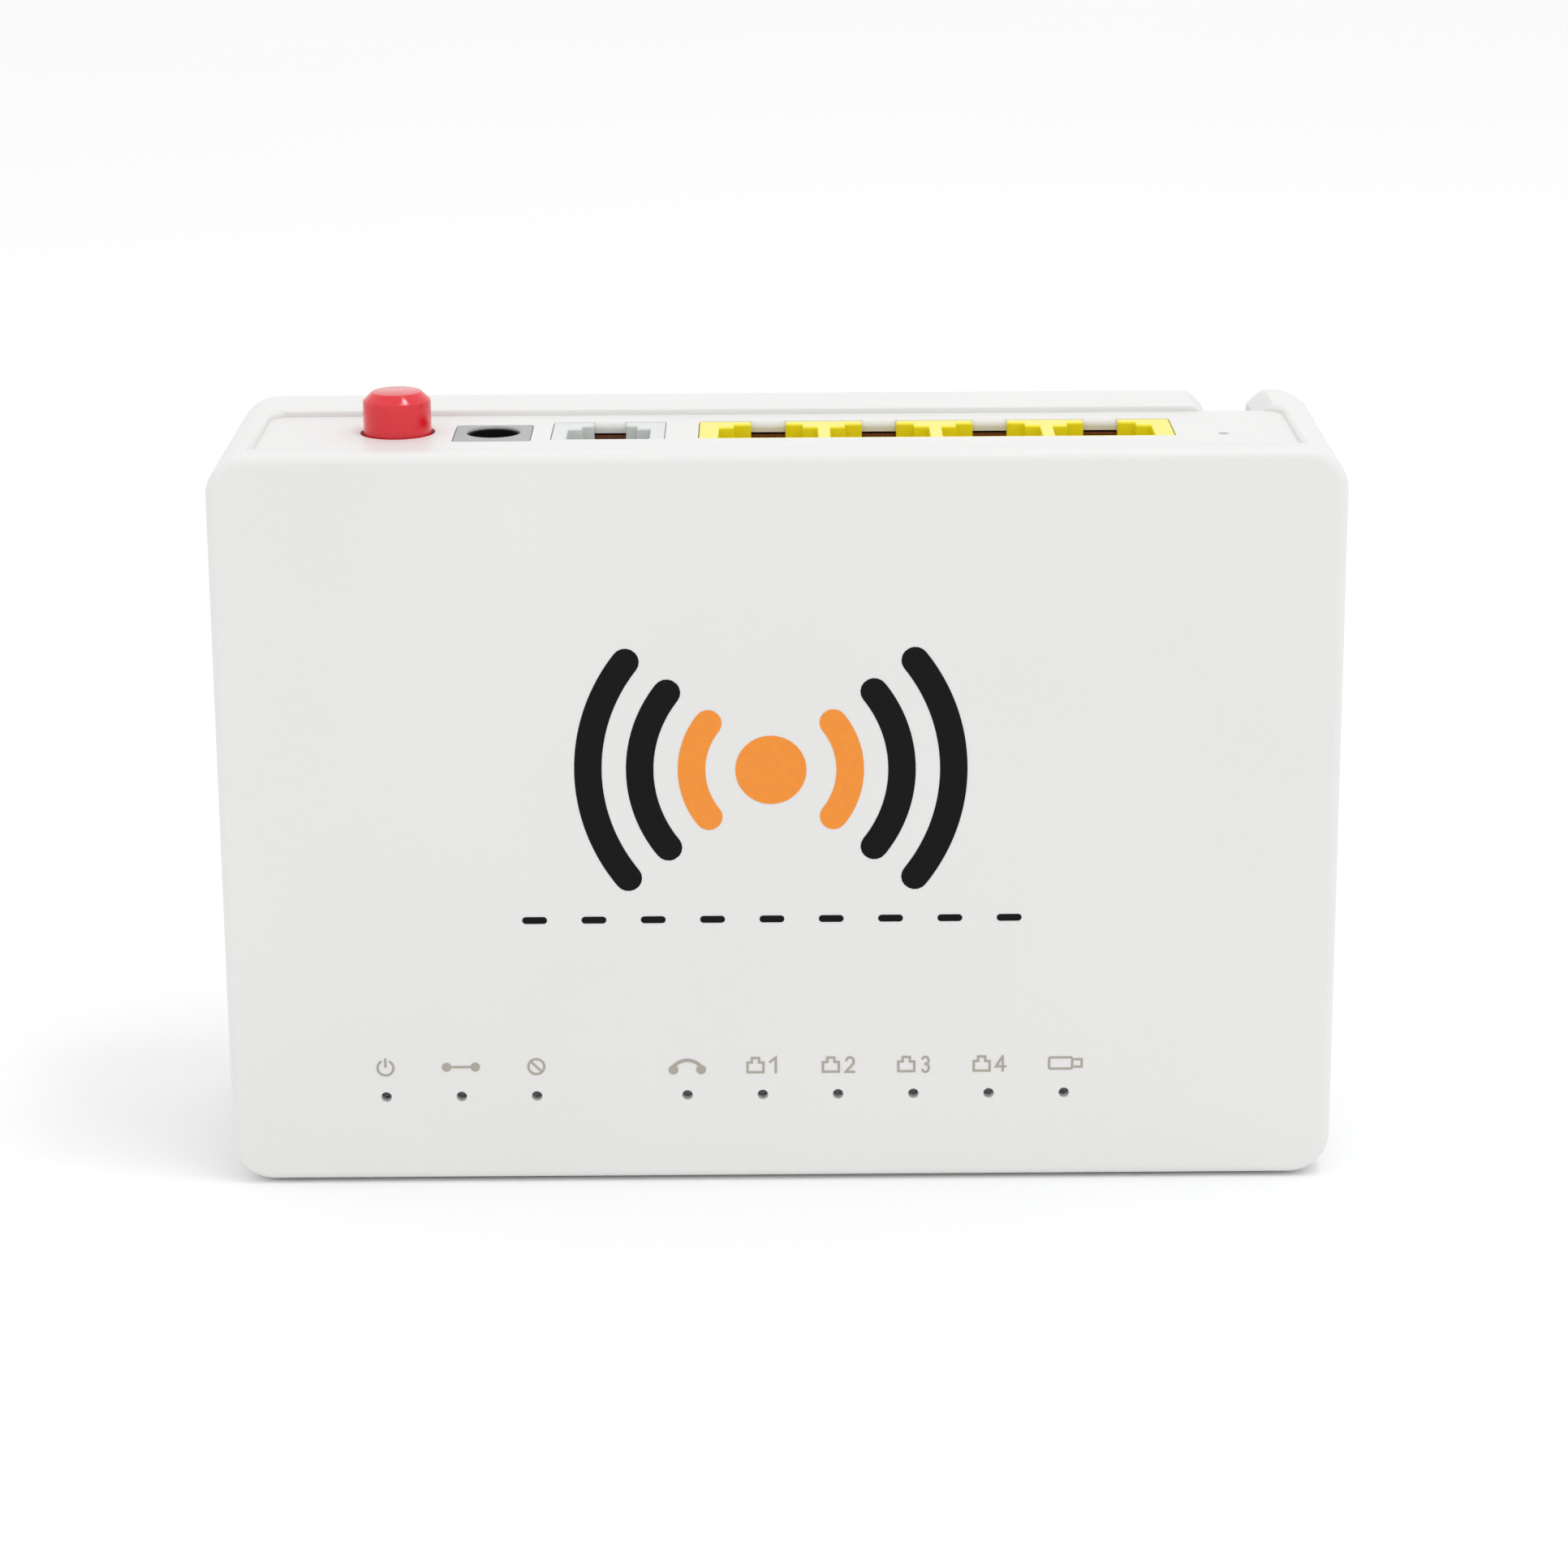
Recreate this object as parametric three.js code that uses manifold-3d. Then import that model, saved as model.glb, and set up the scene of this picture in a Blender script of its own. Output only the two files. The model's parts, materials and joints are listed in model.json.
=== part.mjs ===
// Optical network terminal: a white plastic box that stands upright, with every socket on its top side.
// Frame, in millimetres: +X to the right seen from the front, +Y from the front face towards the wall,
// +Z up. The origin lies under the middle of the bottom side.
import * as THREE from "three";
import { mergeVertices } from "three/addons/utils/BufferGeometryUtils.js";
import Module from "manifold-3d";

const wasm = await Module();
wasm.setup();

// ---------------------------------------------------------------- driving dimensions

const WIDTH = 139;
const HEIGHT = 94;
const DEPTH = 40; // front face to the tips of the rubber feet
const FOOT_RISE = 0.8;
const FRONT_Y = -DEPTH / 2;
const BACK_Y = DEPTH / 2 - FOOT_RISE; // outer face of the rear base
const SEAM_Y = 7.1; // where the front housing ends; the rear base starts one gap behind it
const SEAM_GAP = 0.2;
const CORNER_R = 5.2;
const FRONT_EDGE_R = 1.6;
const BACK_EDGE_R = 2.8;
const WALL = 2;
const FRONT_WALL = 2.2;
const TOP_WALL = 2.3;

// The sockets sit in a shallow sunken panel in the top side.
const PANEL_DROP = 0.8;
const PANEL_HALF_X = 64.2;
const PANEL_Y0 = -12.5;
const PANEL_Z = HEIGHT - PANEL_DROP;
const PANEL_UNDER_Z = HEIGHT - TOP_WALL;
const PANEL_RAMP = 3.5; // the panel's front edge is a shallow slope
const SOCKET_Z = PANEL_Z - 0.1; // mouth faces of the phone and data sockets
const DC_Z = PANEL_Z; // the power socket is flush with the panel
const SOCKET_BACK_Y = 2.95; // the side of each socket that lies on the board
const FIT_GAP = 0.2; // clearance round a socket in its opening

const BOARD_Y = 3.05;
const BOARD_THICK = 1.6;
const BOARD_BACK_Y = BOARD_Y + BOARD_THICK;

const BUTTON = { x: -47.4, y: -2.4, r: 4.25, topR: 3.1, chamfer: 1.1, holeR: 5, rise: 5.2, travel: 2 };
const DC = { x: -35.4, width: 9.6, y0: -8.3, y1: 1.4, boreY: -2.8, boreR: 3.3, boreDeep: 10 };
const PHONE = { x: -21, width: 14.1, y0: -7.7 };
const LAN = { x: 19.9, width: 59.2, y0: -7.4, pitch: 13.97, count: 4 };
const RESET = { x: 55.5, y: -6.3, holeR: 0.7 };
const USB = { z: 58, width: 13.6, y0: -3.4, y1: 2.7, deep: 13.6 };

// Nine indicator lights stand on one pitch, with the fourth place left empty.
const LIGHT = { x: -49.8, z: 11.2, pitch: 9.5, holeR: 0.65 };
const LIGHTS = [
  ["power", 0],
  ["pon", 1],
  ["los", 2],
  ["tel", 4],
  ["lan1", 5],
  ["lan2", 6],
  ["lan3", 7],
  ["lan4", 8],
  ["usb", 9],
];
const lightX = (place) => LIGHT.x + place * LIGHT.pitch;

// The fibre bay is a pocket in the rear base, entered through the flared notch above it.
const NOTCH = { x: 58.2, width: 5.8, flare: 2.25 };
const BAY = { x0: 49, x1: 66, z0: 34, wall: 1.2, floor: 1.3 };
const DOOR = { x0: 48.5, x1: 66.2, z0: 33, z1: 90, thick: 1.6, gap: 0.3, hingeGap: 0.6 };
const HINGE = { x: 46.8, y: 18, r: 1.2, pinR: 0.6, z0: 37, z1: 86 };
const KNUCKLES = [
  [40, 47],
  [76, 83],
];
const ADAPTER = { y: 12.3, width: 12.8, thick: 9.3, z0: 14, z1: 42 };

const HOUSING_SCREWS = [
  [-60, 82],
  [40, 70.5],
  [-60, 9],
  [43.5, 8.5],
];
const BOARD_SCREWS = [
  [-36, 68],
  [43.5, 56],
  [-58, 26],
  [44, 24],
];
const FEET = [
  [-59, 70],
  [-59, 22],
  [59, 22],
  [34, 84],
];
const SCREW_SEAT_Y = 8.9; // where the heads of the housing screws rest in the rear base
const HOUSING_SCREW = { headR: 2.8, headThick: 2, shankR: 1.45, length: 14 };
const BOARD_SCREW = { headR: 2.3, headThick: 1.6, shankR: 1.2, length: 8 };
const HOUSING_BOSS = { r: 3.4, pilotR: 1.6, pilotY: -8 };
const BOARD_BOSS = { r: 3, pilotR: 1.35, pilotY: -7 };
const WELL = { r: 3.3, outerR: 4.7, holeR: 1.8 };
const FOOT = { r: 5, pocketR: 5.2, pocketDeep: 0.6, edge: 0.3 };
const THUMB = { z: 61, r: 4.2, deep: 1.1 };
const SPRING = { r: 2.75, wireR: 0.25, turns: 5 };
const KEYHOLES = [-50, 20];
const KEYHOLE = { z: 62, r: 4, slotR: 2.1, rise: 8 };
const VENT = { x: -40, pitch: 6, count: 12, width: 2.4, z0: 12, z1: 28 };
const LABEL = { x0: -38, x1: 22, z0: 33, z1: 53, thick: 0.15 };

// ---------------------------------------------------------------- shape helpers

// A closed three.js geometry as a solid that can be joined and cut.
function solid(geometry) {
  const bare = geometry.index ? geometry.toNonIndexed() : geometry.clone();
  for (const name of Object.keys(bare.attributes)) {
    if (name !== "position") bare.deleteAttribute(name);
  }
  const merged = mergeVertices(bare, 1e-4);
  return new wasm.Manifold(
    new wasm.Mesh({
      numProp: 3,
      vertProperties: merged.attributes.position.array,
      triVerts: new Uint32Array(merged.index.array),
    }),
  );
}

const union = (...solids) => solids.flat().reduce((a, b) => a.add(b));
const cut = (body, ...tools) => tools.flat(2).reduce((a, b) => a.subtract(b), body);

function box(x0, x1, y0, y1, z0, z1) {
  const g = new THREE.BoxGeometry(x1 - x0, y1 - y0, z1 - z0);
  return solid(g.translate((x0 + x1) / 2, (y0 + y1) / 2, (z0 + z1) / 2));
}

// Round bars along Y and along Z, from a to b.
function barY(x, z, r, a, b, sides = 16) {
  const g = new THREE.CylinderGeometry(r, r, b - a, sides);
  return solid(g.translate(x, (a + b) / 2, z));
}

function barZ(x, y, r, a, b, sides = 16) {
  const g = new THREE.CylinderGeometry(r, r, b - a, sides).rotateX(Math.PI / 2);
  return solid(g.translate(x, y, (a + b) / 2));
}

function roundRect(u0, u1, v0, v1, r) {
  const s = new THREE.Shape();
  s.moveTo(u0 + r, v0);
  s.lineTo(u1 - r, v0);
  s.absarc(u1 - r, v0 + r, r, -Math.PI / 2, 0, false);
  s.lineTo(u1, v1 - r);
  s.absarc(u1 - r, v1 - r, r, 0, Math.PI / 2, false);
  s.lineTo(u0 + r, v1);
  s.absarc(u0 + r, v1 - r, r, Math.PI / 2, Math.PI, false);
  s.lineTo(u0, v0 + r);
  s.absarc(u0 + r, v0 + r, r, Math.PI, 1.5 * Math.PI, false);
  return s;
}

function polygon(points) {
  return new THREE.Shape(points.map(([u, v]) => new THREE.Vector2(u, v)));
}

// A shape drawn in X and Z, as a prism from y0 to y1. rounded is the radius of the edge at each end.
function prismY(shape, y0, y1, rounded = 0, curveSegments = 6) {
  const g = new THREE.ExtrudeGeometry(shape, {
    depth: y1 - y0 - 2 * rounded,
    bevelEnabled: rounded > 0,
    bevelThickness: rounded,
    bevelSize: rounded,
    bevelOffset: -rounded,
    bevelSegments: 4,
    curveSegments,
  });
  return solid(g.rotateX(Math.PI / 2).translate(0, y1 - rounded, 0));
}

// A shape drawn in Y and Z, as a prism from x0 to x1.
function prismX(shape, x0, x1) {
  const g = new THREE.ExtrudeGeometry(shape, { depth: x1 - x0, bevelEnabled: false, curveSegments: 6 });
  const toX = new THREE.Matrix4().set(0, 0, 1, x0, 1, 0, 0, 0, 0, 1, 0, 0, 0, 0, 0, 1);
  return solid(g.applyMatrix4(toX));
}

// A profile of [radius, z] points that starts and ends on the axis, turned about a vertical axis.
function turnedZ(x, y, profile, sides = 24) {
  const g = new THREE.LatheGeometry(
    profile.map(([r, z]) => new THREE.Vector2(r, z)),
    sides,
  );
  return solid(g.rotateX(Math.PI / 2).translate(x, y, 0));
}

// The same about an axis along Y: the profile's second value is y.
function turnedY(x, z, profile, sides = 16) {
  const g = new THREE.LatheGeometry(
    profile.map(([r, y]) => new THREE.Vector2(r, y)),
    sides,
  );
  return solid(g.translate(x, 0, z));
}

const root = new THREE.Group();

function piece(name, body, color, roughness = 0.5, metalness = 0) {
  const { numProp, vertProperties, triVerts } = body.getMesh();
  const geometry = new THREE.BufferGeometry();
  const positions = new Float32Array((vertProperties.length / numProp) * 3);
  for (let i = 0; i < positions.length / 3; i++) {
    positions.set(vertProperties.subarray(i * numProp, i * numProp + 3), i * 3);
  }
  geometry.setAttribute("position", new THREE.BufferAttribute(positions, 3));
  geometry.setIndex(new THREE.BufferAttribute(triVerts, 1));
  geometry.computeVertexNormals();
  const mesh = new THREE.Mesh(geometry, new THREE.MeshStandardMaterial({ color, roughness, metalness }));
  mesh.name = name;
  root.add(mesh);
}

const SHELL_WHITE = 0xe9e9e7;
const BLACK_PLASTIC = 0x1b1b1c;
const TIN = 0xc9cbcd;
const GOLD = 0xd8b15a;

// ---------------------------------------------------------------- front housing

const outline = roundRect(-WIDTH / 2, WIDTH / 2, 0, HEIGHT, CORNER_R);
const inside = roundRect(-WIDTH / 2 + WALL, WIDTH / 2 - WALL, WALL, PANEL_UNDER_Z, CORNER_R - WALL);
const BEYOND = 10; // how far a tool reaches past the face that it cuts

function frontHousing() {
  const skin = cut(
    prismY(outline, FRONT_Y, SEAM_Y + BEYOND, FRONT_EDGE_R),
    box(-WIDTH, WIDTH, SEAM_Y, SEAM_Y + 2 * BEYOND, -BEYOND, HEIGHT + BEYOND),
    prismY(inside, FRONT_Y + FRONT_WALL, SEAM_Y + BEYOND),
  );
  const inner = FRONT_Y + FRONT_WALL - 0.5; // bosses start inside the front wall
  const tall = HOUSING_SCREWS.map(([x, z]) => barY(x, z, HOUSING_BOSS.r, inner, SEAM_Y - 0.2));
  const short = BOARD_SCREWS.map(([x, z]) => barY(x, z, BOARD_BOSS.r, inner, BOARD_Y - 0.05, 12));
  const pipePosts = [-21.3, 38.2].map((x) => box(x - 1, x + 1, inner, -4.1, 10, 12.4));
  const body = union(skin, tall, short, pipePosts);

  const [panelTop, through] = [HEIGHT + BEYOND, PANEL_UNDER_Z - 1];
  const socket = (x, width, y0, y1) =>
    box(x - width / 2 - FIT_GAP, x + width / 2 + FIT_GAP, y0 - FIT_GAP, y1 + FIT_GAP, through, panelTop);
  // The slope runs on past the top side, so that the cut ends in a clean edge.
  const panel = polygon([
    [PANEL_Y0, PANEL_Z],
    [SEAM_Y + 1, PANEL_Z],
    [SEAM_Y + 1, panelTop],
    [PANEL_Y0 - 2 * PANEL_RAMP, panelTop],
    [PANEL_Y0 - 2 * PANEL_RAMP, PANEL_Z + 2 * PANEL_DROP],
  ]);
  const [usbY, usbZ] = [0.3, 0.3 + USB.width / 2];
  return cut(
    body,
    prismX(panel, -PANEL_HALF_X, PANEL_HALF_X),
    barZ(BUTTON.x, BUTTON.y, BUTTON.holeR, through, panelTop, 32),
    socket(DC.x, DC.width, DC.y0, DC.y1),
    socket(PHONE.x, PHONE.width, PHONE.y0, SOCKET_BACK_Y),
    socket(LAN.x, LAN.width, LAN.y0, SOCKET_BACK_Y),
    barZ(RESET.x, RESET.y, RESET.holeR, through, panelTop, 16),
    box(-WIDTH / 2 - 1, -WIDTH / 2 + WALL + 1, USB.y0 - usbY, USB.y1 + usbY, USB.z - usbZ, USB.z + usbZ),
    LIGHTS.map(([, place]) => barY(lightX(place), LIGHT.z, LIGHT.holeR, FRONT_Y - 1, inner + 1, 12)),
    HOUSING_SCREWS.map(([x, z]) => barY(x, z, HOUSING_BOSS.pilotR, HOUSING_BOSS.pilotY, SEAM_Y, 12)),
    BOARD_SCREWS.map(([x, z]) => barY(x, z, BOARD_BOSS.pilotR, BOARD_BOSS.pilotY, BOARD_Y, 12)),
  );
}

// ---------------------------------------------------------------- rear base and fibre door

const BAY_FLOOR_Y = SEAM_Y; // the bay is open from here to the door
const PLATE_Y = BACK_Y - WALL; // inner face of the base's back plate

function keyhole(x) {
  const [low, high] = [KEYHOLE.z, KEYHOLE.z + KEYHOLE.rise];
  const [y0, y1] = [PLATE_Y - 1, BACK_Y + 1];
  return union(
    barY(x, low, KEYHOLE.r, y0, y1, 20),
    barY(x, high, KEYHOLE.slotR, y0, y1, 12),
    box(x - KEYHOLE.slotR, x + KEYHOLE.slotR, y0, y1, low, high),
  );
}

function rearBase() {
  const skin = cut(
    prismY(outline, SEAM_Y - BEYOND, BACK_Y, BACK_EDGE_R),
    box(-WIDTH, WIDTH, SEAM_Y - 2 * BEYOND, SEAM_Y + SEAM_GAP, -BEYOND, HEIGHT + BEYOND),
    prismY(inside, SEAM_Y - BEYOND, PLATE_Y),
  );
  // A thin lip runs inside the front housing and keeps the two shells in line.
  const [lipGap, lipThick, lipReach] = [0.25, 1.2, 1.5];
  const grow = (d) =>
    roundRect(-WIDTH / 2 + WALL + d, WIDTH / 2 - WALL - d, WALL + d, PANEL_UNDER_Z - d, CORNER_R - WALL - d);
  const lip = cut(
    prismY(grow(lipGap), SEAM_Y - lipReach, SEAM_Y + 1),
    prismY(grow(lipGap + lipThick), SEAM_Y - BEYOND, SEAM_Y + BEYOND),
  );
  // Bridges carry the lip on the walls, because the lip stands inside them.
  const bridgeY = SEAM_Y + SEAM_GAP;
  const bridge = cut(
    prismY(grow(-0.3), bridgeY, bridgeY + 1.5),
    prismY(grow(lipGap + lipThick), SEAM_Y - BEYOND, SEAM_Y + BEYOND),
  );

  const floorY = BAY_FLOOR_Y - BAY.floor;
  const [bayX0, bayX1, sideX] = [BAY.x0 - BAY.wall, BAY.x1 + BAY.wall, WIDTH / 2 - 1];
  const bayFloor = box(bayX0, bayX1, floorY, PLATE_Y + 1, BAY.z0 - 2, PANEL_UNDER_Z);
  const bayBlock = union(
    bayFloor.intersect(prismY(grow(lipGap), floorY - 1, PLATE_Y)),
    box(bayX0, sideX, bridgeY, PLATE_Y + 1, BAY.z0 - 2, PANEL_UNDER_Z + 0.3),
  );
  const hingeRib = box(HINGE.x - 2.6, BAY.x0, 14.6, PLATE_Y + 1, HINGE.z0 - 2, HINGE.z1 + 2);
  const wells = HOUSING_SCREWS.map(([x, z]) => barY(x, z, WELL.outerR, SEAM_Y, PLATE_Y + 1));

  const [adapterX, adapterY] = [ADAPTER.width / 2 + 0.2, ADAPTER.thick / 2 + 0.2];
  const [notchHalf, over] = [NOTCH.width / 2, 1];
  const notch = polygon([
    [NOTCH.x - notchHalf, DOOR.z1],
    [NOTCH.x + notchHalf, DOOR.z1],
    [NOTCH.x + notchHalf, HEIGHT - NOTCH.flare],
    [NOTCH.x + notchHalf + NOTCH.flare + over, HEIGHT + over],
    [NOTCH.x - notchHalf - NOTCH.flare - over, HEIGHT + over],
    [NOTCH.x - notchHalf, HEIGHT - NOTCH.flare],
  ]);
  return cut(
    union(skin, lip, bridge, bayBlock, hingeRib, wells),
    box(BAY.x0, BAY.x1, BAY_FLOOR_Y, PLATE_Y + 0.5, BAY.z0, PANEL_UNDER_Z),
    // the door lies in a rebate in the back face
    box(
      DOOR.x0 - DOOR.hingeGap,
      DOOR.x1 + DOOR.gap,
      BACK_Y - DOOR.thick - 0.2,
      BACK_Y + 1,
      DOOR.z0 - DOOR.gap,
      DOOR.z1 + DOOR.gap,
    ),
    // the fibre leaves through this notch, which is open to the back
    prismY(notch, SEAM_Y, BACK_Y + 1),
    box(NOTCH.x - adapterX, NOTCH.x + adapterX, ADAPTER.y - adapterY, ADAPTER.y + adapterY, 30, BAY.z0 + 1),
    // a thumb notch at the free edge of the door
    barY(DOOR.x1 + 0.8, THUMB.z, THUMB.r, BACK_Y - THUMB.deep, BACK_Y + 1, 20),
    KNUCKLES.map(([a, b]) => box(HINGE.x - 1.7, DOOR.x0 + 0.6, 16.2, BACK_Y + 1, a - 0.3, b + 0.3)),
    barZ(HINGE.x, HINGE.y, HINGE.pinR + 0.15, HINGE.z0, HINGE.z1, 12),
    HOUSING_SCREWS.map(([x, z]) => [
      barY(x, z, WELL.r, SCREW_SEAT_Y, BACK_Y + 1),
      barY(x, z, WELL.holeR, SEAM_Y - 1, SCREW_SEAT_Y + 1, 12),
    ]),
    KEYHOLES.map(keyhole),
    [...Array(VENT.count).keys()].map((i) => {
      const x = VENT.x + i * VENT.pitch;
      return box(x - VENT.width / 2, x + VENT.width / 2, PLATE_Y - 1, BACK_Y + 1, VENT.z0, VENT.z1);
    }),
    FEET.map(([x, z]) => barY(x, z, FOOT.pocketR, BACK_Y - FOOT.pocketDeep, BACK_Y + 1, 20)),
  );
}

function fibreBayDoor() {
  const plate = box(DOOR.x0, DOOR.x1, BACK_Y - DOOR.thick, BACK_Y, DOOR.z0, DOOR.z1);
  const knuckles = KNUCKLES.map(([a, b]) =>
    union(
      barZ(HINGE.x, HINGE.y, HINGE.r, a, b, 20),
      box(HINGE.x, DOOR.x0 + 0.5, BACK_Y - DOOR.thick, BACK_Y, a, b),
    ),
  );
  // two ribs stiffen the inside face
  const ribY = BACK_Y - DOOR.thick - 0.8;
  const ribs = [BAY.x0 + 2, BAY.x1 - 3].map((x) => box(x, x + 1, ribY, BACK_Y - 1, 44, 84));
  return cut(union(plate, knuckles, ribs), barZ(HINGE.x, HINGE.y, HINGE.pinR + 0.1, 0, HEIGHT, 16));
}

piece("front_housing", frontHousing(), SHELL_WHITE, 0.55);
piece("rear_base", rearBase(), SHELL_WHITE, 0.55);
piece("fibre_bay_door", fibreBayDoor(), SHELL_WHITE, 0.55);
piece(
  "fibre_door_hinge_pin",
  barZ(HINGE.x, HINGE.y, HINGE.pinR, HINGE.z0 + 0.2, HINGE.z1 - 0.2, 12),
  TIN,
  0.3,
  1,
);
FEET.forEach(([x, z], i) => {
  const [r, edge, seat] = [FOOT.r, FOOT.edge, BACK_Y - FOOT.pocketDeep + 0.05];
  const tip = BACK_Y + FOOT_RISE;
  const profile = [[0, seat], [r, seat], [r, tip - edge], [r - edge, tip], [0, tip]];
  piece(`rubber_foot_${i + 1}`, turnedY(x, z, profile, 20), 0x3a3a3b, 0.9);
});
piece(
  "rating_label",
  prismY(
    roundRect(LABEL.x0, LABEL.x1, LABEL.z0, LABEL.z1, 1.5),
    BACK_Y + 0.02,
    BACK_Y + 0.02 + LABEL.thick,
    0,
    3,
  ),
  0xf4f4f2,
  0.4,
);

// ---------------------------------------------------------------- screws

// A pan-head screw along Y. Its head rests at seat and looks towards the back.
function screw(x, z, seat, { headR, headThick, shankR, length }) {
  const profile = [
    [0, seat - length],
    [shankR * 0.5, seat - length],
    [shankR, seat - length + 1],
    [shankR, seat],
    [headR, seat],
    [headR, seat + headThick * 0.6],
    [headR * 0.72, seat + headThick],
    [0, seat + headThick],
  ];
  const [half, deep, top] = [headR * 0.5, headThick * 0.6, seat + headThick + 1];
  const cross = [
    box(x - half, x + half, seat + headThick - deep, top, z - 0.3, z + 0.3),
    box(x - 0.3, x + 0.3, seat + headThick - deep, top, z - half, z + half),
  ];
  return cut(turnedY(x, z, profile, 12), cross);
}

HOUSING_SCREWS.forEach(([x, z], i) => {
  piece(`housing_screw_${i + 1}`, screw(x, z, SCREW_SEAT_Y + 0.05, HOUSING_SCREW), 0x9a9da0, 0.35, 1);
});
BOARD_SCREWS.forEach(([x, z], i) => {
  piece(`board_screw_${i + 1}`, screw(x, z, BOARD_BACK_Y + 0.05, BOARD_SCREW), 0x9a9da0, 0.35, 1);
});

// ---------------------------------------------------------------- power button and its switch

const BUTTON_TOP_Z = PANEL_Z + BUTTON.rise;
const SWITCH_TOP_Z = 84;
const STEM_HALF = 1.5;
const CAP_LOW_Z = SWITCH_TOP_Z + BUTTON.travel + 0.5;
const CAP_HOLLOW_Z = 91;
const STEM_TOP_Z = 94;

function powerButton() {
  const cap = turnedZ(
    BUTTON.x,
    BUTTON.y,
    [
      [0, CAP_HOLLOW_Z],
      [3.5, CAP_HOLLOW_Z],
      [3.5, CAP_LOW_Z],
      [BUTTON.r, CAP_LOW_Z],
      [BUTTON.r, BUTTON_TOP_Z - BUTTON.chamfer],
      [BUTTON.topR, BUTTON_TOP_Z],
      [0, BUTTON_TOP_Z],
    ],
    36,
  );
  const half = STEM_HALF + 0.1;
  const [x, y] = [BUTTON.x, BUTTON.y];
  return cut(cap, box(x - half, x + half, y - half, y + half, CAP_HOLLOW_Z - 1, STEM_TOP_Z + 0.1));
}

function powerSwitchBody() {
  const half = 4.25;
  const [x, y] = [BUTTON.x, BUTTON.y];
  const guide = STEM_HALF + 0.25;
  const shell = box(x - half, x + half, y - half, SOCKET_BACK_Y, 72, SWITCH_TOP_Z);
  const waist = [-1, 1].map((side) => box(x + side * half - 0.4, x + side * half + 0.4, y + 1.6, y + 5.6, 75, 81));
  return cut(shell, waist, box(x - guide, x + guide, y - guide, y + guide, 78, SWITCH_TOP_Z + 1));
}

// A round wire wound about the stem, from low to high.
function coilSpring(low, high, { r, wireR, turns }) {
  const [steps, sides] = [turns * 12, 6];
  const points = [];
  for (let i = 0; i <= steps; i++) {
    const turn = (i / steps) * turns * 2 * Math.PI;
    const z = low + wireR + ((high - low - 2 * wireR) * i) / steps;
    points.push(
      new THREE.Vector3(BUTTON.x + r * Math.cos(turn), BUTTON.y + r * Math.sin(turn), z),
    );
  }
  const wire = new THREE.Shape().absarc(0, 0, wireR, 0, 2 * Math.PI, false);
  const g = new THREE.ExtrudeGeometry(wire, {
    extrudePath: new THREE.CatmullRomCurve3(points),
    steps,
    curveSegments: sides,
    bevelEnabled: false,
  });
  return solid(g);
}

piece("power_button", powerButton(), 0xd8303a, 0.25);
piece("power_switch_body", powerSwitchBody(), BLACK_PLASTIC, 0.45);
piece(
  "power_switch_plunger",
  box(
    BUTTON.x - STEM_HALF,
    BUTTON.x + STEM_HALF,
    BUTTON.y - STEM_HALF,
    BUTTON.y + STEM_HALF,
    80.5,
    STEM_TOP_Z,
  ),
  0xe6e6e2,
  0.4,
);
piece("power_switch_spring", coilSpring(SWITCH_TOP_Z + 0.1, CAP_HOLLOW_Z - 0.1, SPRING), TIN, 0.3, 1);

// ---------------------------------------------------------------- reset switch

const RESET_BODY_TOP_Z = 88;
piece(
  "reset_switch_body",
  cut(
    union(
      box(RESET.x - 3, RESET.x + 3, RESET.y - 3, RESET.y + 3, 84, RESET_BODY_TOP_Z),
      box(RESET.x - 3.4, RESET.x + 3.4, RESET.y + 2.5, SOCKET_BACK_Y, 83, 87),
    ),
    barZ(RESET.x, RESET.y, 1.75, 85.6, RESET_BODY_TOP_Z + 1, 16),
  ),
  BLACK_PLASTIC,
  0.45,
);
piece("reset_switch_plunger", barZ(RESET.x, RESET.y, 1.6, 86.1, 90.6, 16), 0xd9d3c4, 0.5);

// ---------------------------------------------------------------- power socket

function dcJackBody() {
  const half = DC.width / 2;
  const flange = box(DC.x - half, DC.x + half, DC.y0, DC.y1, DC_Z - 2.5, DC_Z);
  const barrel = box(DC.x - half + 0.3, DC.x + half - 0.3, DC.y0 + 0.3, SOCKET_BACK_Y, 79, DC_Z - 2);
  return cut(
    union(flange, barrel),
    barZ(DC.x, DC.boreY, DC.boreR, DC_Z - DC.boreDeep, DC_Z + 1, 28),
    barZ(DC.x, DC.boreY, 1.1, DC_Z - DC.boreDeep - 1.5, DC_Z, 12),
  );
}

piece("dc_jack_body", dcJackBody(), 0x77797b, 0.5);
piece(
  "dc_jack_pin",
  turnedZ(
    DC.x,
    DC.boreY,
    [
      [0, DC_Z - DC.boreDeep - 1.4],
      [1, DC_Z - DC.boreDeep - 1.4],
      [1, DC_Z - 1.9],
      [0.5, DC_Z - 1.2],
      [0, DC_Z - 1.2],
    ],
    12,
  ),
  TIN,
  0.25,
  1,
);
{
  // the spring strip that touches the outside of the plug
  const y = DC.boreY - DC.boreR + 0.25;
  const strip = box(DC.x - 1.1, DC.x + 1.1, y, y + 0.3, DC_Z - DC.boreDeep + 0.3, DC_Z - 3.2);
  piece("dc_jack_spring_strip", strip, TIN, 0.25, 1);
}

// ---------------------------------------------------------------- modular sockets

// The mouth of a modular socket has three steps: the plug, its latch, and the slot of the latch.
function modularMouth(x, y0, widths, z0) {
  const [plug, latch, slot] = widths.map((w) => w / 2);
  const [plugY, latchY] = [y0 + 6.9, y0 + 8.7];
  const top = SOCKET_Z + 1;
  return union(
    box(x - plug, x + plug, y0 + 0.8, plugY, z0, top),
    box(x - latch, x + latch, y0 + 1, latchY, z0 + 1, top),
    box(x - slot, x + slot, y0 + 1, SOCKET_BACK_Y + 1, z0 + 5, top),
  );
}

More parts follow.
